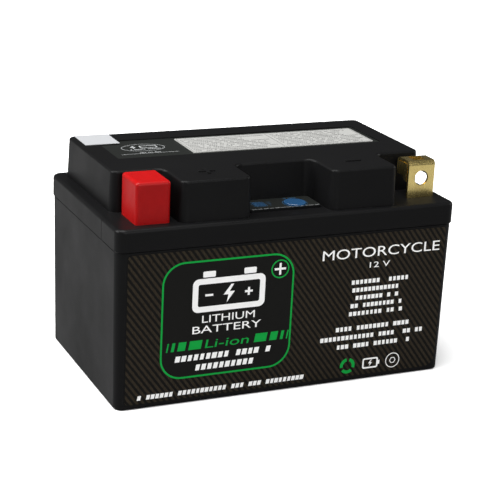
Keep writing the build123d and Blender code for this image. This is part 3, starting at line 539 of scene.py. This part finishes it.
def printedPiece(name, material, lay, shapes, body="root", lift=0.02, thickness=0.03):
    mesh = bmesh.new()
    for shape in shapes:
        if isinstance(shape, tuple):
            addBand(mesh, shape[0], shape[1], lift, lift + thickness, lay)
        else:
            addPrism(mesh, shape, lift, lift + thickness, lay)
    piece = finishMesh(name, mesh, material)
    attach(piece, body)
    return piece


def makeRowTree():
    # rows of plain blocks with gaps between words, that stand where small print would be
    tree = bpy.data.node_groups.new("printedRows", "GeometryNodeTree")
    ports = tree.interface
    ports.new_socket(name="Geometry", in_out="INPUT", socket_type="NodeSocketGeometry")
    for name, value in (("Pitch", 0.84), ("Narrowest", 0.62), ("Widest", 0.86), ("Block Height", 0.84),
                        ("Filled", 0.86), ("Thickness", 0.03)):
        ports.new_socket(name=name, in_out="INPUT", socket_type="NodeSocketFloat").default_value = value
    ports.new_socket(name="Seed", in_out="INPUT", socket_type="NodeSocketInt").default_value = 3
    ports.new_socket(name="Ink", in_out="INPUT", socket_type="NodeSocketMaterial")
    ports.new_socket(name="Geometry", in_out="OUTPUT", socket_type="NodeSocketGeometry")
    entry, result = addNode(tree, "NodeGroupInput"), addNode(tree, "NodeGroupOutput")
    height = addNode(tree, "GeometryNodeInputNamedAttribute", data_type="FLOAT")
    height.inputs["Name"].default_value = "rowHeight"
    size = height.outputs["Attribute"]
    curve = addNode(tree, "GeometryNodeMeshToCurve")
    tree.links.new(entry.outputs["Geometry"], curve.inputs["Mesh"])
    resample = addNode(tree, "GeometryNodeResampleCurve", mode="LENGTH")
    tree.links.new(curve.outputs["Curve"], resample.inputs["Curve"])
    pitch = math2(tree, "MULTIPLY", size, entry.outputs["Pitch"])
    tree.links.new(pitch, resample.inputs["Length"])
    bar = addNode(tree, "GeometryNodeMeshCube")
    bar.inputs["Size"].default_value = (1, 1, 1)
    share = addNode(tree, "FunctionNodeRandomValue", data_type="FLOAT")
    ends = [socket for socket in share.inputs if socket.enabled]
    tree.links.new(entry.outputs["Narrowest"], ends[0])
    tree.links.new(entry.outputs["Widest"], ends[1])
    tree.links.new(entry.outputs["Seed"], share.inputs["Seed"])
    length = [socket for socket in share.outputs if socket.enabled][0]
    scale = addNode(tree, "ShaderNodeCombineXYZ")
    tree.links.new(math2(tree, "MULTIPLY", pitch, length), scale.inputs[0])
    tree.links.new(math2(tree, "MULTIPLY", size, entry.outputs["Block Height"]), scale.inputs[1])
    tree.links.new(entry.outputs["Thickness"], scale.inputs[2])
    present = addNode(tree, "FunctionNodeRandomValue", data_type="BOOLEAN")
    tree.links.new(entry.outputs["Filled"], present.inputs["Probability"])
    tree.links.new(entry.outputs["Seed"], present.inputs["Seed"])
    place = addNode(tree, "GeometryNodeInstanceOnPoints")
    tree.links.new([socket for socket in present.outputs if socket.enabled][0], place.inputs["Selection"])
    tree.links.new(resample.outputs["Curve"], place.inputs["Points"])
    tree.links.new(bar.outputs["Mesh"], place.inputs["Instance"])
    tree.links.new(scale.outputs[0], place.inputs["Scale"])
    realize = addNode(tree, "GeometryNodeRealizeInstances")
    paint = addNode(tree, "GeometryNodeSetMaterial")
    tree.links.new(place.outputs["Instances"], realize.inputs["Geometry"])
    tree.links.new(realize.outputs["Geometry"], paint.inputs["Geometry"])
    tree.links.new(entry.outputs["Ink"], paint.inputs["Material"])
    tree.links.new(paint.outputs["Geometry"], result.inputs["Geometry"])
    return tree


rowTree = makeRowTree()


def runTree(base, tree, values):
    # sets the named inputs, evaluates once and returns the result as a plain mesh
    modifier = base.modifiers.new("nodes", "NODES")
    modifier.node_group = tree
    sockets = {item.name: item.identifier for item in tree.interface.items_tree if item.in_out == "INPUT"}
    for name, value in values.items():
        modifier[sockets[name]] = value
    bpy.context.view_layer.update()
    evaluated = base.evaluated_get(bpy.context.evaluated_depsgraph_get())
    data = bpy.data.meshes.new_from_object(evaluated)
    bpy.data.objects.remove(base)
    return data


def printedRows(
    name, material, lay, rows, slotName, body="root", lift=0.02, thickness=0.03, slant=0.0, **values
):
    base = bpy.data.meshes.new(name + "Lines")
    points = [(x, y, 0) for x0, x1, y, size in rows for x in (x0 + 0.4 * size, x1 - 0.4 * size)]
    base.from_pydata(points, [(2 * i, 2 * i + 1) for i in range(len(rows))], [])
    sizes = base.attributes.new("rowHeight", "FLOAT", "POINT")
    sizes.data.foreach_set("value", [row[3] for row in rows for _ in range(2)])
    holder = bpy.data.objects.new(name + "Lines", base)
    bpy.context.scene.collection.objects.link(holder)
    data = runTree(holder, rowTree, {"Thickness": thickness, "Ink": material, **values})
    data.name = name
    rowLines = [row[2] for row in rows]
    for vertex in data.vertices:
        x, y, z = vertex.co
        nearest = min(rowLines, key=lambda line: abs(line - y))
        vertex.co = lay(x + slant * (y - nearest), y, lift + thickness / 2 + z)
    piece = bpy.data.objects.new(name, data)
    bpy.context.scene.collection.objects.link(piece)
    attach(piece, body)
    return piece


def lightningMark(x, y, size):
    # a plain lightning stroke
    points = [
        (0.10, 0.5), (-0.32, -0.06), (-0.04, -0.06), (-0.12, -0.5), (0.32, 0.10), (0.02, 0.10), (0.26, 0.5)
    ]
    return [(x + size * px, y + size * py) for px, py in reversed(points)]


frontPrint = {
    "panel": (-56.0, 1.2, 11.1, 60.8),
    "panelCorner": 9.5,
    "outline": 0.75,
    "plusCentre": (-5.2, 54.0),
    "plusRing": 4.0,
    "picture": (-43.0, -11.5, 38.8, 53.0),
    "pictureStroke": 2.4,
    "dashLine": (23.2, 26.9),
    "dashes": (5.4, 3.3, 1.3, 0.6),
    "dashGap": 1.45,
    "dashFrom": (-38.6, -15.3),
    "icons": (28.8, 40.0, 50.5),
    "iconZ": 7.2,
}


def makeFrontPrint(spec):
    lay = layFront("front_label")
    x0, x1, y0, y1 = spec["panel"]
    corner, line = spec["panelCorner"], spec["outline"]
    printedPiece(
        "frontPanel", blackInk, lay, [roundedOutline(x0, x1, y0, y1, corner, 12)], lift=0.0
    )
    outer = roundedOutline(x0, x1, y0, y1, corner, 12)
    inner = roundedOutline(x0 + line, x1 - line, y0 + line, y1 - line, corner - line, 12)
    centre, ring = spec["plusCentre"], spec["plusRing"]
    greens = [(outer, inner), (disc(centre, ring), disc(centre, ring - 0.55))]
    low, high = spec["dashLine"]
    left, right = spec["dashFrom"]
    for width in spec["dashes"]:
        greens.append(barOutline(left - width, left, low, high, 0.18))
        greens.append(barOutline(right, right + width, low, high, 0.18))
        left -= width + spec["dashGap"]
        right += width + spec["dashGap"]
    icon, level = spec["icons"], spec["iconZ"]
    for turn in (100, 220, 340):
        outerArc = arcPoints((icon[0], level), 3.5, turn, turn + 92, 12)
        innerArc = arcPoints((icon[0], level), 2.1, turn + 92, turn, 12)
        greens.append(outerArc + innerArc)
    printedPiece("frontGreen", greenInk, lay, greens, lift=0.04)

    px0, px1, py0, py1 = spec["picture"]
    stroke = spec["pictureStroke"]
    body = roundedOutline(px0, px1, py0, py1, 2.6, 6)
    hollow = roundedOutline(px0 + stroke, px1 - stroke, py0 + stroke, py1 - stroke, 0.8, 6)
    whites = [(body, hollow)]
    for post in (px0 + 4.2, px1 - 9.6):
        whites.append(roundedOutline(post, post + 5.4, py1 + 0.5, py1 + 3.0, 0.5, 3))
    middle = ((px0 + px1) / 2, (py0 + py1) / 2)
    whites.append(lightningMark(middle[0], middle[1], 7.6))
    for side, upright in ((-1, False), (1, True)):
        cx = middle[0] + side * 8.6
        whites.append(barOutline(cx - 1.7, cx + 1.7, middle[1] - 0.45, middle[1] + 0.45))
        if upright:
            whites.append(barOutline(cx - 0.45, cx + 0.45, middle[1] + 0.45, middle[1] + 1.7))
            whites.append(barOutline(cx - 0.45, cx + 0.45, middle[1] - 1.7, middle[1] - 0.45))
    whites.append(barOutline(centre[0] - 2.5, centre[0] + 2.5, centre[1] - 0.45, centre[1] + 0.45))
    whites.append(barOutline(centre[0] - 0.45, centre[0] + 0.45, centre[1] + 0.45, centre[1] + 2.5))
    whites.append(barOutline(centre[0] - 0.45, centre[0] + 0.45, centre[1] - 2.5, centre[1] - 0.45))
    x = icon[1]
    whites.append((roundedOutline(x - 4.0, x + 3.4, level - 2.4, level + 2.4, 0.9, 5),
                   roundedOutline(x - 3.3, x + 2.7, level - 1.7, level + 1.7, 0.4, 5)))
    whites.append(barOutline(x + 3.4, x + 4.2, level - 0.9, level + 0.9))
    whites.append(lightningMark(x - 0.3, level, 2.9))
    x = icon[2]
    whites.append((disc((x, level), 3.4), disc((x, level), 3.05)))
    whites.append((disc((x, level), 1.5, 6), disc((x, level), 1.15, 6)))
    printedPiece("frontWhite", whiteInk, lay, whites, lift=0.045)

    printedRows("frontSlogan", whiteInk, lay, [(-49.6, -7.5, 19.7, 3.0), (-40.8, -15.0, 15.2, 3.0)],
                "carbon_label", lift=0.045, slant=0.2, Seed=21)
    printedRows(
        "frontFootLine", whiteInk, lay, [(-65.3, 10.4, 4.9, 2.3)], "carbon_label", lift=0.02, slant=0.2,
        Seed=5
    )
    smallRows = []
    for width, z in ((29.0, 44.6), (24.0, 41.1), (20.5, 37.6), (24.5, 34.1), (25.5, 30.6)):
        smallRows.append((40.4 - width / 2, 40.4 + width / 2, z, 2.2))
    for left, right, z in ((22.0, 57.0, 24.1), (15.0, 64.0, 20.1), (21.0, 58.0, 16.1)):
        smallRows.append((left, right, z, 2.3))
    printedRows("frontSmallPrint", whiteInk, lay, smallRows, "carbon_label", lift=0.02, Seed=2)
    return lay


wordMarks = {
    # plain generic words: text, middle, height, width, slant, ink
    "useMark": ("MOTORCYCLE", (41.2, 57.5), 4.3, 55.0, 0.0, whiteInk),
    "voltageMark": ("12 V", (40.6, 51.7), 2.5, 9.5, 0.0, whiteInk),
    "kindMark": ("LITHIUM", (-27.0, 35.8), 3.1, 23.0, 0.0, whiteInk),
    "batteryMark": ("BATTERY", (-27.5, 31.4), 3.1, 30.0, 0.0, whiteInk),
    "cellMark": ("Li-ion", (-27.0, 25.0), 3.6, 19.0, 0.18, greenInk),
}


def makeWordMark(lay, name, text, centre, height, width, slant, material):
    curve = bpy.data.curves.new(name, "FONT")
    curve.body = text
    curve.align_x = "CENTER"
    curve.align_y = "CENTER"
    curve.size = 10.0
    curve.extrude = 0.5
    curve.resolution_u = 4
    holder = bpy.data.objects.new(name + "Curve", curve)
    bpy.context.scene.collection.objects.link(holder)
    bpy.context.view_layer.update()
    data = bpy.data.meshes.new_from_object(holder.evaluated_get(bpy.context.evaluated_depsgraph_get()))
    bpy.data.objects.remove(holder)
    mesh = bmesh.new()
    mesh.from_mesh(data)
    bmesh.ops.remove_doubles(mesh, verts=mesh.verts[:], dist=0.001)
    xs = [vertex.co.x for vertex in mesh.verts]
    ys = [vertex.co.y for vertex in mesh.verts]
    stretchX, stretchY = width / (max(xs) - min(xs)), height / (max(ys) - min(ys))
    midX, midY = (max(xs) + min(xs)) / 2, (max(ys) + min(ys)) / 2
    for vertex in mesh.verts:
        x, y, z = vertex.co
        up = (y - midY) * stretchY
        vertex.co = lay(centre[0] + (x - midX) * stretchX + slant * up, centre[1] + up, 0.06 + 0.03 * z)
    piece = finishMesh(name, mesh, material)
    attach(piece, "root")


frontLay = makeFrontPrint(frontPrint)
for name, mark in wordMarks.items():
    makeWordMark(frontLay, name, *mark)
print("front label printed")

topPrint = {
    "pictureCentre": (-44.0, 14.5),
    "ring": 5.6,
    "line": 0.25,
    "columns": 2,
    "rows": 9,
    "rowHeight": 1.15,
    "margin": 1.6,
}


def makeTopPrint(spec):
    lay = layTop("top_label")
    cx, cy = spec["pictureCentre"]
    wide = spec["ring"] * 1.7
    oval = [(cx + wide * math.cos(t), cy + spec["ring"] * math.sin(t)) for t in
            (math.tau * i / 64 for i in range(64))]
    inside = [
        (cx + (wide - spec["line"]) * math.cos(t), cy + (spec["ring"] - spec["line"]) * math.sin(t))
        for t in (math.tau * i / 64 for i in range(64))
    ]
    marks = [(oval, inside), lightningMark(cx - 4.2, cy + 0.9, 4.6)]
    marks.append((roundedOutline(cx - 1.2, cx + 6.4, cy - 1.0, cy + 2.8, 0.6, 4),
                  roundedOutline(cx - 0.6, cx + 5.8, cy - 0.4, cy + 2.2, 0.2, 4)))
    marks.append(barOutline(cx - 12.5, cx + 12.5, cy - 9.3, cy - 9.05))
    printedPiece("topPicture", paleInk, lay, marks)
    printedRows(
        "topSmallPrint", paleInk, lay,
        [(cx - 6.5, cx + 7.0, cy - 2.6, 1.0), (cx - 5.0, cx + 5.0, cy - 8.0, 0.8)],
        "dark_label", Seed=6
    )

    plate = layTop("info_plate")
    low, high = (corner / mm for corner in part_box("info_plate"))
    step = (high.x - low.x) / spec["columns"]
    rows = []
    shaker = random.Random(14)
    for column in range(spec["columns"]):
        left = low.x + step * column + spec["margin"]
        right = low.x + step * (column + 1) - spec["margin"]
        for row in range(spec["rows"]):
            y = high.y - 3.0 - row * (high.y - low.y - 5.4) / (spec["rows"] - 1)
            rows.append((left, right - shaker.choice((0, 0, 2.5, 6, 11)), y, spec["rowHeight"]))
    printedRows(
        "platePrint", greyInk, plate, rows, "silver_film", lift=0.01, thickness=0.02, Seed=9,
        **{"Block Height": 0.6}
    )
    middle = (low.x + high.x) / 2
    frameOuter = roundedOutline(low.x + 0.5, high.x - 0.5, low.y + 0.5, high.y - 0.5, 0.8, 5)
    frameInner = roundedOutline(low.x + 0.7, high.x - 0.7, low.y + 0.7, high.y - 0.7, 0.6, 5)
    lines = [(frameOuter, frameInner), barOutline(middle - 0.12, middle + 0.12, low.y + 1.2, high.y - 1.2)]
    printedPiece("plateLines", greyInk, plate, lines, lift=0.01, thickness=0.02)


makeTopPrint(topPrint)

overlayPrint = {
    "edgeLine": 0.22, "dash": 2.1, "dashGap": 0.45, "ringRadius": 5.0, "ringLine": 0.2, "tick": 0.25
}


def makeOverlayPrint(spec):
    lay = layTop("indicator_overlay")
    low, high = (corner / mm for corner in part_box("indicator_overlay"))
    buttonLow, buttonHigh = (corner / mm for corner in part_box("test_button"))
    windowLow, windowHigh = (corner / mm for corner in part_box("indicator_window"))
    cx, cy = (buttonLow.x + buttonHigh.x) / 2, (buttonLow.y + buttonHigh.y) / 2
    wx, wy = (windowLow.x + windowHigh.x) / 2, (windowLow.y + windowHigh.y) / 2
    edge = []
    left = low.x + 0.8
    while left < high.x - 2.0:
        edge.append(barOutline(left, left + spec["dash"], low.y + 0.25, low.y + 0.25 + spec["edgeLine"]))
        left += spec["dash"] + spec["dashGap"]
    printedPiece("overlayEdge", paleInk, lay, edge, lift=0.01)
    marks = [(roundedOutline(wx - 3.1, wx + 3.1, wy - 3.2, wy + 3.2, 1.4, 5),
              roundedOutline(wx - 2.95, wx + 2.95, wy - 3.05, wy + 3.05, 1.25, 5))]
    for i in range(4):
        tick = wy - 2.2 + 1.4 * i
        marks.append(barOutline(wx + 4.0, wx + 4.8 + 0.35 * i, tick, tick + spec["tick"]))
    ring = spec["ringRadius"]
    marks.append((disc((cx, cy), ring + spec["ringLine"], 48), disc((cx, cy), ring, 48)))
    printedPiece("overlayMarks", blueInk, lay, marks, lift=0.01)
    printedRows(
        "overlaySmallPrint", blueInk, lay, [(cx - 3.2, cx + 3.6, high.y - 1.5, 0.9)], "dark_label",
        lift=0.01, Seed=3
    )


makeOverlayPrint(overlayPrint)
print("top and indicator printed")

foamPads = {"inset": 0.35, "round": 1.2, "swell": 0.35, "grid": 6.0}


def makePad(node, spec):
    # a cut foam block, crowned a little between its edges on every face
    low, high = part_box(node)
    size = (high - low) / mm
    inset = min(spec["inset"], 0.1 * min(size))
    mesh = bmesh.new()
    bmesh.ops.create_cube(mesh, size=1.0)
    for vertex in mesh.verts:
        for axis in range(3):
            vertex.co[axis] = (low[axis] + high[axis]) / 2 + vertex.co[axis] * (
                (high[axis] - low[axis]) - 2 * inset * mm
            )
    edge = min(spec["round"], 0.3 * min(size)) * mm
    bmesh.ops.bevel(mesh, geom=mesh.edges[:], offset=edge, segments=3, profile=0.6, affect="EDGES")
    for axis in range(3):
        cuts = int(size[axis] / spec["grid"])
        for i in range(1, cuts):
            at = Vector((0, 0, 0))
            normal = Vector((0, 0, 0))
            at[axis] = low[axis] + (high[axis] - low[axis]) * i / cuts
            normal[axis] = 1
            whole = mesh.verts[:] + mesh.edges[:] + mesh.faces[:]
            bmesh.ops.bisect_plane(mesh, geom=whole, plane_co=at, plane_no=normal)
    middle = (low + high) / 2
    for vertex in mesh.verts:
        share = [(vertex.co[a] - middle[a]) / ((high[a] - low[a]) / 2) for a in range(3)]
        crown = math.prod(
            max(0.0, 1 - s * s)
            for i, s in enumerate(share)
            if i != max(range(3), key=lambda a: abs(share[a]))
        )
        face = max(range(3), key=lambda a: abs(share[a]))
        if abs(share[face]) > 0.9:
            vertex.co[face] += math.copysign(inset * spec["swell"] * crown * mm * 2, share[face])
    pad = finishMesh(node + "Foam", mesh, looks["grey_foam"], smooth=True)
    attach(pad, "root")
    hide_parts(node)


for name in ("base_pad", "front_pad", "left_end_pad", "right_end_pad"):
    makePad(name, foamPads)
print("foam pads made")

weldSpots = {"perPad": 6, "ring": 3.0, "radius": 0.75, "height": 0.12}


def makeSpotTree():
    # a ring of small domes at each point, for spot welds and solder
    tree = bpy.data.node_groups.new("spotRings", "GeometryNodeTree")
    ports = tree.interface
    ports.new_socket(name="Geometry", in_out="INPUT", socket_type="NodeSocketGeometry")
    ports.new_socket(name="Count", in_out="INPUT", socket_type="NodeSocketInt").default_value = 6
    for name, value in (("Ring Radius", 0.003), ("Spot Radius", 0.0007), ("Height", 0.0001)):
        ports.new_socket(name=name, in_out="INPUT", socket_type="NodeSocketFloat").default_value = value
    ports.new_socket(name="Metal", in_out="INPUT", socket_type="NodeSocketMaterial")
    ports.new_socket(name="Geometry", in_out="OUTPUT", socket_type="NodeSocketGeometry")
    entry, result = addNode(tree, "NodeGroupInput"), addNode(tree, "NodeGroupOutput")
    ring = addNode(tree, "GeometryNodeMeshCircle", fill_type="NONE")
    tree.links.new(entry.outputs["Count"], ring.inputs["Vertices"])
    tree.links.new(entry.outputs["Ring Radius"], ring.inputs["Radius"])
    dome = addNode(tree, "GeometryNodeMeshUVSphere")
    dome.inputs["Segments"].default_value = 12
    dome.inputs["Rings"].default_value = 6
    dome.inputs["Radius"].default_value = 1.0
    squash = addNode(tree, "ShaderNodeCombineXYZ")
    for i, name in enumerate(("Spot Radius", "Spot Radius", "Height")):
        tree.links.new(entry.outputs[name], squash.inputs[i])
    spots = addNode(tree, "GeometryNodeInstanceOnPoints")
    tree.links.new(ring.outputs["Mesh"], spots.inputs["Points"])
    tree.links.new(dome.outputs["Mesh"], spots.inputs["Instance"])
    tree.links.new(squash.outputs[0], spots.inputs["Scale"])
    rings = addNode(tree, "GeometryNodeInstanceOnPoints")
    tree.links.new(entry.outputs["Geometry"], rings.inputs["Points"])
    tree.links.new(spots.outputs["Instances"], rings.inputs["Instance"])
    realize = addNode(tree, "GeometryNodeRealizeInstances")
    paint = addNode(tree, "GeometryNodeSetMaterial")
    tree.links.new(rings.outputs["Instances"], realize.inputs["Geometry"])
    tree.links.new(realize.outputs["Geometry"], paint.inputs["Geometry"])
    tree.links.new(entry.outputs["Metal"], paint.inputs["Material"])
    tree.links.new(paint.outputs["Geometry"], result.inputs["Geometry"])
    return tree


def spotPiece(name, points, spec, material):
    base = bpy.data.meshes.new(name + "Points")
    base.from_pydata(points, [], [])
    holder = bpy.data.objects.new(name + "Points", base)
    bpy.context.scene.collection.objects.link(holder)
    values = {"Count": spec["perPad"], "Ring Radius": spec["ring"] * mm, "Spot Radius": spec["radius"] * mm,
              "Height": spec["height"] * mm, "Metal": material}
    data = runTree(holder, spotTree, values)
    data.name = name
    for polygon in data.polygons:
        polygon.use_smooth = True
    piece = bpy.data.objects.new(name, data)
    bpy.context.scene.collection.objects.link(piece)
    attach(piece, "root")


spotTree = makeSpotTree()
cellMiddles = [((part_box(f"cell_{i}")[0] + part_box(f"cell_{i}")[1]) / 2) for i in range(1, 9)]
plateThickness = 0.5 * mm
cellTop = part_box("cell_1")[1].z
holderLip = 1.2 * mm
spotLevel = cellTop + holderLip + plateThickness
spotPiece("weldSpots", [(m.x, m.y, spotLevel) for m in cellMiddles], weldSpots, looks["nickel"])
print("inside details made")


floorLook = {
    "seen": (0.96, 0.96, 0.96, 1),
    "mirrored": (0.26, 0.26, 0.26, 1),
    "roughness": 0.8,
    "halfSize": 6.0,
    "fadeFrom": 0.22,  # metres from the middle, where the floor starts to run out into white
    "fadeTo": 0.60,
}


def makeFloor(look):
    # the object mirrors a dimmer floor than the one in view, as on a studio table with flags round it
    mesh = bmesh.new()
    bmesh.ops.create_grid(mesh, x_segments=8, y_segments=8, size=look["halfSize"])
    material, tree, principled = newMaterial("paleFloor", Roughness=look["roughness"], Specular_IOR_Level=0.1)
    rays = addNode(tree, "ShaderNodeLightPath")
    tone = mixColour(tree, rays.outputs["Is Camera Ray"], look["mirrored"], look["seen"])
    tree.links.new(tone, principled.inputs["Base Color"])
    far = addNode(tree, "ShaderNodeVectorMath", operation="LENGTH")
    tree.links.new(objectPoint(tree), far.inputs[0])
    fade = remap(tree, far.outputs["Value"], look["fadeFrom"], look["fadeTo"])
    principled.inputs["Emission Color"].default_value = (1, 1, 1, 1)
    glow = math2(tree, "MULTIPLY", fade, rays.outputs["Is Camera Ray"])
    tree.links.new(glow, principled.inputs["Emission Strength"])
    floor = finishMesh("floor", mesh, material)


studio = {
    # position, aim, size and watts, in metres
    "leftSoftbox": ((-1.10, 0.35, 0.85), (0, 0, 0.04), 0.9, 27.0),
    "overhead": ((-0.25, -0.15, 1.30), (0, 0, 0.05), 0.9, 27.0),
    "frontFill": ((0.10, -1.40, 0.70), (0, 0, 0.05), 0.8, 11.0),
    "rightFill": ((1.40, -0.10, 0.50), (0, 0, 0.05), 0.9, 6.0),
}
sky = {"seen": 1.0, "mirrored": 0.06}


def makeStudio(lamps, sky):
    for name, (position, aim, size, power) in lamps.items():
        lamp = bpy.data.lights.new(name, "AREA")
        lamp.size = size
        lamp.energy = power
        holder = bpy.data.objects.new(name, lamp)
        holder.location = position
        holder.rotation_euler = (Vector(aim) - Vector(position)).to_track_quat("-Z", "Y").to_euler()
        bpy.context.scene.collection.objects.link(holder)
    world = bpy.data.worlds.new("paleSky")
    world.use_nodes = True
    tree = world.node_tree
    rays = addNode(tree, "ShaderNodeLightPath")
    strength = remap(tree, rays.outputs["Is Camera Ray"], 0.0, 1.0, sky["mirrored"], sky["seen"])
    tree.links.new(strength, tree.nodes["Background"].inputs["Strength"])
    tree.nodes["Background"].inputs["Color"].default_value = (1.0, 1.0, 1.0, 1)
    bpy.context.scene.world = world
    bpy.context.scene.view_settings.view_transform = "Standard"


viewpoint = {
    "azimuth": -24.64,
    "elevation": 18.18,
    "roll": 2.73,
    "distance": 0.6536,
    "target": (0.0008, 0, 0.0476),
    "lens": 109.20,
}


def makeCamera(spec):
    a, e, r = (math.radians(spec[key]) for key in ("azimuth", "elevation", "roll"))
    back = Vector((math.sin(a) * math.cos(e), -math.cos(a) * math.cos(e), math.sin(e)))
    right = Vector((math.cos(a), math.sin(a), 0))
    up = back.cross(right)
    turned = Matrix((
        right * math.cos(r) + up * math.sin(r),
        -right * math.sin(r) + up * math.cos(r),
        back,
    )).transposed()
    data = bpy.data.cameras.new("camera")
    data.lens = spec["lens"]
    data.sensor_width = 36.0
    data.clip_start = 0.01
    camera = bpy.data.objects.new("camera", data)
    camera.matrix_world = (
        Matrix.Translation(Vector(spec["target"]) + back * spec["distance"]) @ turned.to_4x4()
    )
    bpy.context.scene.collection.objects.link(camera)
    bpy.context.scene.camera = camera


makeFloor(floorLook)
makeStudio(studio, sky)
makeCamera(viewpoint)
print("stage set")
